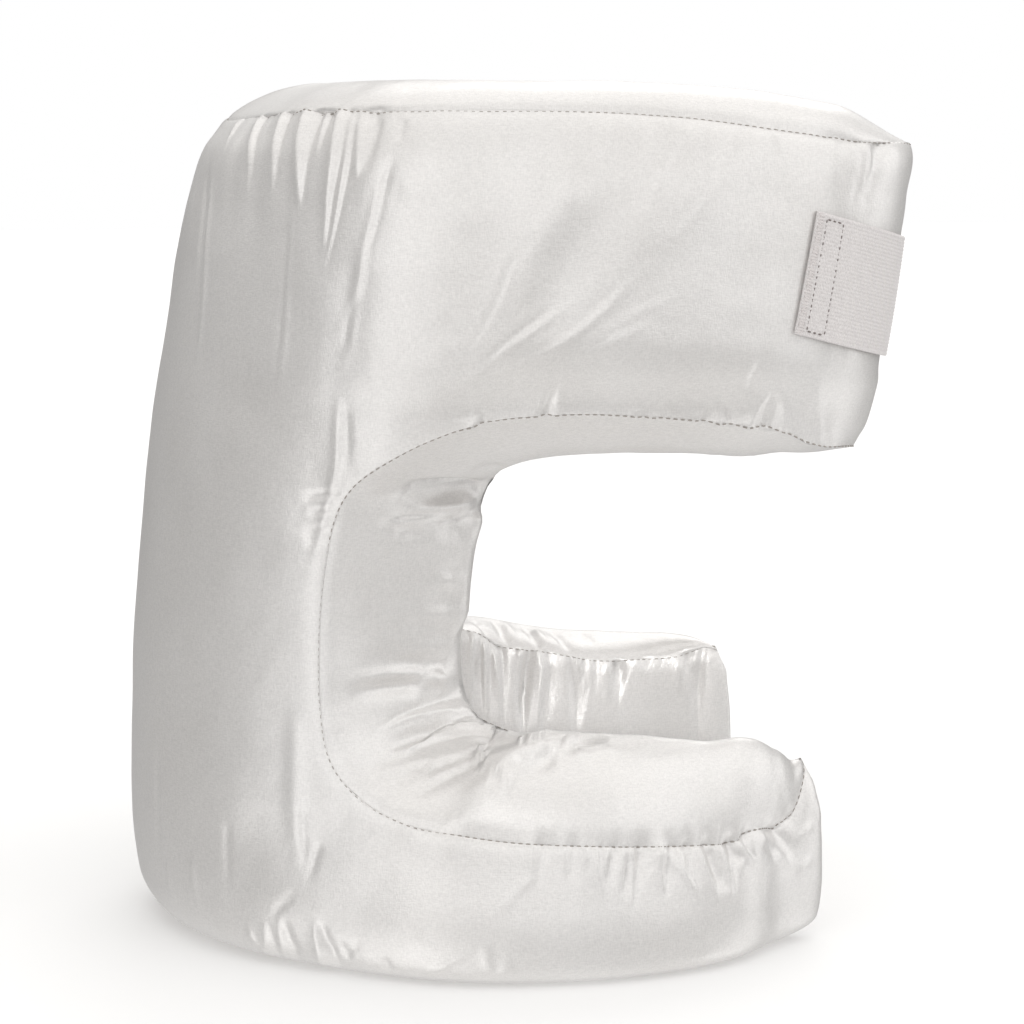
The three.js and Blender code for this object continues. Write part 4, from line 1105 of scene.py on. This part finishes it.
def strap_relief(offsets, run):
    """The webbing's ribs and, at the stitched ends, its open knit: depths of the face, [line, step]."""
    rib = 0.5 - 0.5 * np.cos(2 * np.pi * offsets / RIB_PITCH)[:, None]
    from_end = np.minimum(run, run[-1] - run)[None]
    knit = 0.5 - 0.5 * np.cos(2 * np.pi * (from_end / 1.35 + np.round(offsets / RIB_PITCH)[:, None] * 0.5))
    open_share = (1 - smoothstep(from_end, 18, 30)) * 0.55
    relief = 0.34 * rib * (1 - open_share * (1 - knit))
    edge = smoothstep(np.abs(offsets), STRAP["width"] / 2 - 1.3, STRAP["width"] / 2)[:, None]
    return relief * (1 - edge) + 0.45 * edge * (1 - np.sqrt(np.clip(1 - edge ** 2, 0, 1)))


def build_strap():
    offsets, run, lines, normals = strap_grid()
    relief = strap_relief(offsets, run)
    face = lines + normals * (STRAP["clearance"] + STRAP["thickness"] - relief)[:, :, None]
    back = lines + normals * (STRAP["clearance"] + 0.4 * relief)[:, :, None]
    skin = Skin()
    front_numbers, back_numbers = skin.grid(face, 0), skin.grid(back, 0)
    skin.quads(front_numbers, NEAR, True)
    skin.quads(back_numbers, NEAR, False)
    skin.quads(np.stack([back_numbers[0], front_numbers[0]]), NEAR, True)
    skin.quads(np.stack([front_numbers[-1], back_numbers[-1]]), NEAR, True)
    skin.quads(np.stack([back_numbers[:, 0], front_numbers[:, 0]]), NEAR, False)
    skin.quads(np.stack([front_numbers[:, -1], back_numbers[:, -1]]), NEAR, False)
    return np.vstack(skin.points), skin.faces, (offsets, run, face, normals)


# The strap's stitches. Along is measured from its cut end and across from its edge, to the first and the
# last stitch.
ZIGZAG = dict(edge=0.8, pitch=1.15, along=(0.3, 3.4), lean=1.1, lift=0.05, radius=0.24)
BOX_ROWS = dict(along=(4.6, 12.8), first=2.6, last=3.4, pitch=2.3, length=1.4, skew=0.05, radius=0.26)
BOX_SIDES = dict(edge=2.4, first=4.9, last=12, pitch=2.5, length=1.7, lift=0.1, radius=0.34)


def strap_stitching(offsets, run, face, normals):
    """The zigzag over the cut ends and the box stitch beside it, at both ends."""
    def at(along, across):
        column = np.interp(along, run, np.arange(len(run)))
        row = np.interp(across, offsets, np.arange(len(offsets)))
        return [values[np.round(row).astype(int), np.round(column).astype(int)] for values in (face, normals)]

    zigzags, boxes = [], []
    half = STRAP["width"] / 2
    for flip in (False, True):
        def place(along, across, flip=flip):
            return at(run[-1] - along if flip else along, across)

        across = np.arange(-half + ZIGZAG["edge"], half - ZIGZAG["edge"], ZIGZAG["pitch"])
        for lean in (-1, 1):
            start, up = place(np.full(len(across), ZIGZAG["along"][0]), across)
            end, _ = place(np.full(len(across), ZIGZAG["along"][1]), across + lean * ZIGZAG["lean"])
            lift = up * ZIGZAG["lift"]
            zigzags.append(spindles(start + lift, end + lift, up, ZIGZAG["radius"]))
        for along in BOX_ROWS["along"]:
            across = np.arange(-half + BOX_ROWS["first"], half - BOX_ROWS["last"], BOX_ROWS["pitch"])
            start, up = place(np.full(len(across), along), across)
            end, _ = place(np.full(len(across), along + BOX_ROWS["skew"]), across + BOX_ROWS["length"])
            boxes.append(spindles(start, end, up, BOX_ROWS["radius"]))
        for across in (-half + BOX_SIDES["edge"], half - BOX_SIDES["edge"]):
            along = np.arange(BOX_SIDES["first"], BOX_SIDES["last"], BOX_SIDES["pitch"])
            start, up = place(along, np.full(len(along), across))
            end, _ = place(along + BOX_SIDES["length"], np.full(len(along), across))
            lift = up * BOX_SIDES["lift"]
            boxes.append(spindles(start + lift, end + lift, up, BOX_SIDES["radius"]))
    return joined(zigzags), joined(boxes)


# Materials

def new_material(name, color, roughness):
    material = bpy.data.materials.new(name)
    material.use_nodes = True
    shader = material.node_tree.nodes["Principled BSDF"]
    shader.inputs["Base Color"].default_value = (*color, 1)
    shader.inputs["Roughness"].default_value = roughness
    return material, shader


def add_node(material, kind, **settings):
    node = material.node_tree.nodes.new(kind)
    for key, value in settings.items():
        if key in node.inputs:
            node.inputs[key].default_value = value
        else:
            setattr(node, key, value)
    return node


def stretched_noise(material, scale, detail):
    """Noise in the object's own space, with its own scale along each axis."""
    tree = material.node_tree
    coordinates = add_node(material, "ShaderNodeTexCoord")
    mapping = add_node(material, "ShaderNodeMapping", Scale=scale)
    texture = add_node(material, "ShaderNodeTexNoise", Scale=1.0, Detail=detail)
    tree.links.new(coordinates.outputs["Object"], mapping.inputs["Vector"])
    tree.links.new(mapping.outputs["Vector"], texture.inputs["Vector"])
    return texture.outputs["Fac"]


def remapped(material, value, low, high):
    node = add_node(material, "ShaderNodeMapRange")
    node.inputs["From Min"].default_value = 0.3
    node.inputs["From Max"].default_value = 0.7
    node.inputs["To Min"].default_value = low
    node.inputs["To Max"].default_value = high
    material.node_tree.links.new(value, node.inputs["Value"])
    return node.outputs["Result"]


def tinted(material, value, dark, light):
    node = add_node(material, "ShaderNodeValToRGB")
    node.color_ramp.elements[0].color = (*dark, 1)
    node.color_ramp.elements[0].position = 0.3
    node.color_ramp.elements[1].color = (*light, 1)
    node.color_ramp.elements[1].position = 0.7
    material.node_tree.links.new(value, node.inputs["Fac"])
    return node.outputs["Color"]


def bumped(material, shader, heights):
    """Bump from (value, strength, distance in millimetres) rows, the coarsest first."""
    normal = None
    for value, strength, distance in heights:
        bump = add_node(material, "ShaderNodeBump", Strength=strength, Distance=distance * MILLIMETRE)
        material.node_tree.links.new(value, bump.inputs["Height"])
        if normal:
            material.node_tree.links.new(normal, bump.inputs["Normal"])
        normal = bump.outputs["Normal"]
    material.node_tree.links.new(normal, shader.inputs["Normal"])


def shaded(material, shader, color, value, low, high):
    """Multiplies a colour by a value that runs from low to high, as the shader's base colour."""
    links = material.node_tree.links
    node = add_node(material, "ShaderNodeVectorMath", operation="SCALE")
    links.new(color, node.inputs[0])
    links.new(remapped(material, value, low, high), node.inputs["Scale"])
    links.new(node.outputs[0], shader.inputs["Base Color"])


def blended(material, first, second):
    node = add_node(material, "ShaderNodeMath", operation="MULTIPLY_ADD")
    node.inputs[1].default_value = 1
    material.node_tree.links.new(first, node.inputs[0])
    material.node_tree.links.new(second, node.inputs[2])
    half = add_node(material, "ShaderNodeMath", operation="MULTIPLY")
    half.inputs[1].default_value = 0.5
    material.node_tree.links.new(node.outputs[0], half.inputs[0])
    return half.outputs[0]


def make_satin():
    material, shader = new_material("satin", (0.76, 0.745, 0.73), 0.4)
    links = material.node_tree.links
    cloud = stretched_noise(material, (14, 14, 9), 3)
    warp = stretched_noise(material, (1900, 1900, 500), 2)
    weft = stretched_noise(material, (500, 500, 1900), 2)
    crumple = stretched_noise(material, (170, 170, 170), 4)
    weave = blended(material, warp, weft)
    color = tinted(material, cloud, (0.745, 0.727, 0.71), (0.785, 0.77, 0.757))
    shaded(material, shader, color, weave, 0.9, 1.08)
    links.new(remapped(material, cloud, 0.31, 0.38), shader.inputs["Roughness"])
    shader.inputs["Metallic"].default_value = 0.45
    shader.inputs["Sheen Weight"].default_value = 0.12
    shader.inputs["Sheen Roughness"].default_value = 0.4
    shader.inputs["Anisotropic"].default_value = 0.5
    shader.inputs["Anisotropic Rotation"].default_value = 0.25
    tangent = add_node(material, "ShaderNodeTangent", direction_type="RADIAL", axis="Z")
    links.new(tangent.outputs["Tangent"], shader.inputs["Tangent"])
    bumped(material, shader, [(crumple, 0.4, 0.35), (weft, 0.6, 0.12), (warp, 0.6, 0.12)])
    return material


def make_webbing():
    material, shader = new_material("webbing", (0.62, 0.575, 0.57), 0.78)
    links = material.node_tree.links
    yarn = stretched_noise(material, (2600, 2600, 1300), 3)
    links.new(tinted(material, yarn, (0.59, 0.56, 0.553), (0.79, 0.76, 0.753)), shader.inputs["Base Color"])
    shader.inputs["Sheen Weight"].default_value = 0.2
    bumped(material, shader, [(yarn, 0.4, 0.2)])
    return material


def make_thread(name, color):
    material, shader = new_material(name, color, 0.65)
    twist = stretched_noise(material, (3000, 3000, 3000), 2)
    bumped(material, shader, [(twist, 0.3, 0.1)])
    return material


# The pieces

satin, webbing = make_satin(), make_webbing()
seam_thread = make_thread("seam_thread", (0.36, 0.33, 0.3))
edge_thread = make_thread("edge_thread", (0.76, 0.72, 0.71))
box_thread = make_thread("box_thread", (0.2, 0.17, 0.16))

skin, raw_ribs = build_skin()
points, regions, faces, renumber = weld(skin)
ribs = {side: renumber[numbers] for side, numbers in raw_ribs.items()}
chains = {side: seam_chains(numbers) for side, numbers in ribs.items()}
points = settle(relax_joins(points, faces, regions, ribs))
points += rolled_in(points, regions, chains)
smooth_normals = vertex_normals(points, faces)
relief = cover_relief(points, faces, smooth_normals, regions, chains)
moves = smooth_normals * relief[:, None]
moves[:, 2] *= smoothstep(points[:, 2], 0, 12)
moves[np.abs(points[:, 1]) < 0.01, 1] = 0
points = points + moves
points[:, 2] = np.maximum(points[:, 2], 0)
normals = vertex_normals(points, faces)


def finish_piece(piece, replaced):
    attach(piece, "root")
    if replaced:
        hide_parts(replaced)


for side, name in ((NEAR, "cushion_near_side"), (FAR, "cushion_far_side")):
    own = [block for block, where in zip(faces, skin.sides) if where == side]
    half = make_mesh(name, points, [*own, capped(own)], satin, normals)
    finish_piece(half, "pillow_body")

# The stitched seams, with how high the thread lies over the cover and the thread's radius.
SEAM_THREAD = dict(top=(0.2, 0.3), opening=(0.2, 0.3), collar=(0.05, 0.2))
STITCH_PITCH = 3.1
STITCH_LENGTH = 2.1

rows = []
for side in (NEAR, FAR):
    for name, (lift, radius) in SEAM_THREAD.items():
        chain = chains[side][name]
        rows.append(stitches_along(points[chain], normals[chain], STITCH_PITCH, STITCH_LENGTH, lift, radius))
stitch_points, stitch_faces = joined(rows)
finish_piece(make_mesh("seam_stitching", stitch_points, stitch_faces, seam_thread), None)

strap_points, strap_faces, strap_surface = build_strap()
strap = make_mesh("strap_webbing", strap_points, strap_faces, webbing)
finish_piece(strap, "elastic_strap")
zigzag, box_stitch = strap_stitching(*strap_surface)
finish_piece(make_mesh("strap_edge_zigzag", *zigzag, edge_thread), None)
finish_piece(make_mesh("strap_box_stitch", *box_stitch, box_thread), None)

# Camera, floor and light

camera_data = bpy.data.cameras.new("camera")
camera_data.sensor_width = 36
camera_data.lens = FOCAL_LENGTH / PICTURE_SIZE * camera_data.sensor_width
camera_data.clip_start = 0.05
camera = bpy.data.objects.new("camera", camera_data)
bpy.context.scene.collection.objects.link(camera)
camera.location = (EYE + Vector((ORIGIN_SHIFT, 0, 0))) * MILLIMETRE
camera.rotation_euler = VIEW_AXES.to_euler()
bpy.context.scene.camera = camera

HALF_FLOOR = 6
floor_mesh = bpy.data.meshes.new("floor")
floor_corners = [(x * HALF_FLOOR, y * HALF_FLOOR, 0) for x, y in ((-1, -1), (1, -1), (1, 1), (-1, 1))]
floor_mesh.from_pydata(floor_corners, [], [(0, 1, 2, 3)])
floor = bpy.data.objects.new("floor", floor_mesh)
bpy.context.scene.collection.objects.link(floor)
floor_material, floor_shader = new_material("pale_floor", (0.95, 0.95, 0.95), 1)
floor_shader.inputs["Specular IOR Level"].default_value = 0
floor_mesh.materials.append(floor_material)
floor.visible_diffuse = False
floor.visible_glossy = False
floor.visible_shadow = False


# The studio's soft boxes: turn in degrees from the front towards the right, elevation and strength. The
# strengths come from a fit of the render's tones to the photograph's, then rounded.
SOFT_BOXES = [(-60, -35, 0.3), (-30, -35, 0.2), (90, -35, 0.25), (-40, 8, 0.4), (0, 8, 0.37), (40, 8, 0.35),
              (90, 8, 0.4), (65, 38, 0.15), (160, 38, 0.4)]
SOFT_BOX_SPREAD = 40
FLOOR_GLOW = 0.85
CEILING_GLOW = 1.3
EVEN_GLOW = 0.13
# Two small lamps at the camera's own place that reach the far collar through the opening: where in the
# picture they point, how many pixels their cone reaches, and their power.
LAMP_AIMS = [(530, 688), (655, 688)]
LAMP_REACH = 95
LAMP_POWER = 18
LAMP_SIZE = 0.04


def soft_box(turn, elevation, strength):
    light = bpy.data.lights.new("soft_box", "SUN")
    light.energy, light.angle = strength, math.radians(SOFT_BOX_SPREAD)
    turn, elevation = math.radians(turn), math.radians(elevation)
    towards = Vector((math.sin(turn) * math.cos(elevation), -math.cos(turn) * math.cos(elevation),
                      math.sin(elevation)))
    lamp = bpy.data.objects.new("soft_box", light)
    lamp.rotation_euler = towards.to_track_quat("Z", "Y").to_euler()
    bpy.context.scene.collection.objects.link(lamp)


for box in SOFT_BOXES:
    soft_box(*box)


def lamp_at_camera(across, down):
    light = bpy.data.lights.new("lamp", "SPOT")
    light.energy, light.spot_blend, light.shadow_soft_size = LAMP_POWER, 1, LAMP_SIZE
    light.spot_size = 2 * math.atan(LAMP_REACH / FOCAL_LENGTH)
    away = VIEW_AXES @ Vector((across - PICTURE_SIZE / 2, PICTURE_SIZE / 2 - down, -FOCAL_LENGTH))
    lamp = bpy.data.objects.new("lamp", light)
    lamp.location = camera.location
    lamp.rotation_euler = (-away).to_track_quat("Z", "Y").to_euler()
    bpy.context.scene.collection.objects.link(lamp)


for aim in LAMP_AIMS:
    lamp_at_camera(*aim)


def studio_world(floor_glow, ceiling_glow):
    """White where the camera sees it. The scene is lit by an even glow, more of it from below and above."""
    studio = bpy.data.worlds.new("studio")
    studio.use_nodes = True
    nodes, links = studio.node_tree.nodes, studio.node_tree.links
    nodes.clear()
    place = nodes.new("ShaderNodeTexCoord")
    height = nodes.new("ShaderNodeSeparateXYZ")
    links.new(place.outputs["Generated"], height.inputs[0])
    both = nodes.new("ShaderNodeMath")
    for number, (side, glow) in enumerate(((-1, floor_glow), (1, ceiling_glow))):
        part = nodes.new("ShaderNodeMapRange")
        for name, value in (("From Min", 0), ("From Max", side), ("To Min", EVEN_GLOW / 2),
                            ("To Max", EVEN_GLOW / 2 + glow)):
            part.inputs[name].default_value = value
        links.new(height.outputs["Z"], part.inputs["Value"])
        links.new(part.outputs["Result"], both.inputs[number])
    seen, lit = nodes.new("ShaderNodeBackground"), nodes.new("ShaderNodeBackground")
    seen.inputs["Color"].default_value = (1, 1, 1, 1)
    lit.inputs["Color"].default_value = (1, 0.99, 0.975, 1)
    ray = nodes.new("ShaderNodeLightPath")
    mix = nodes.new("ShaderNodeMixShader")
    out = nodes.new("ShaderNodeOutputWorld")
    links.new(both.outputs["Value"], lit.inputs["Strength"])
    links.new(ray.outputs["Is Camera Ray"], mix.inputs[0])
    links.new(lit.outputs[0], mix.inputs[1])
    links.new(seen.outputs[0], mix.inputs[2])
    links.new(mix.outputs[0], out.inputs[0])
    return studio


bpy.context.scene.world = studio_world(FLOOR_GLOW, CEILING_GLOW)
bpy.context.scene.view_settings.view_transform = "Standard"
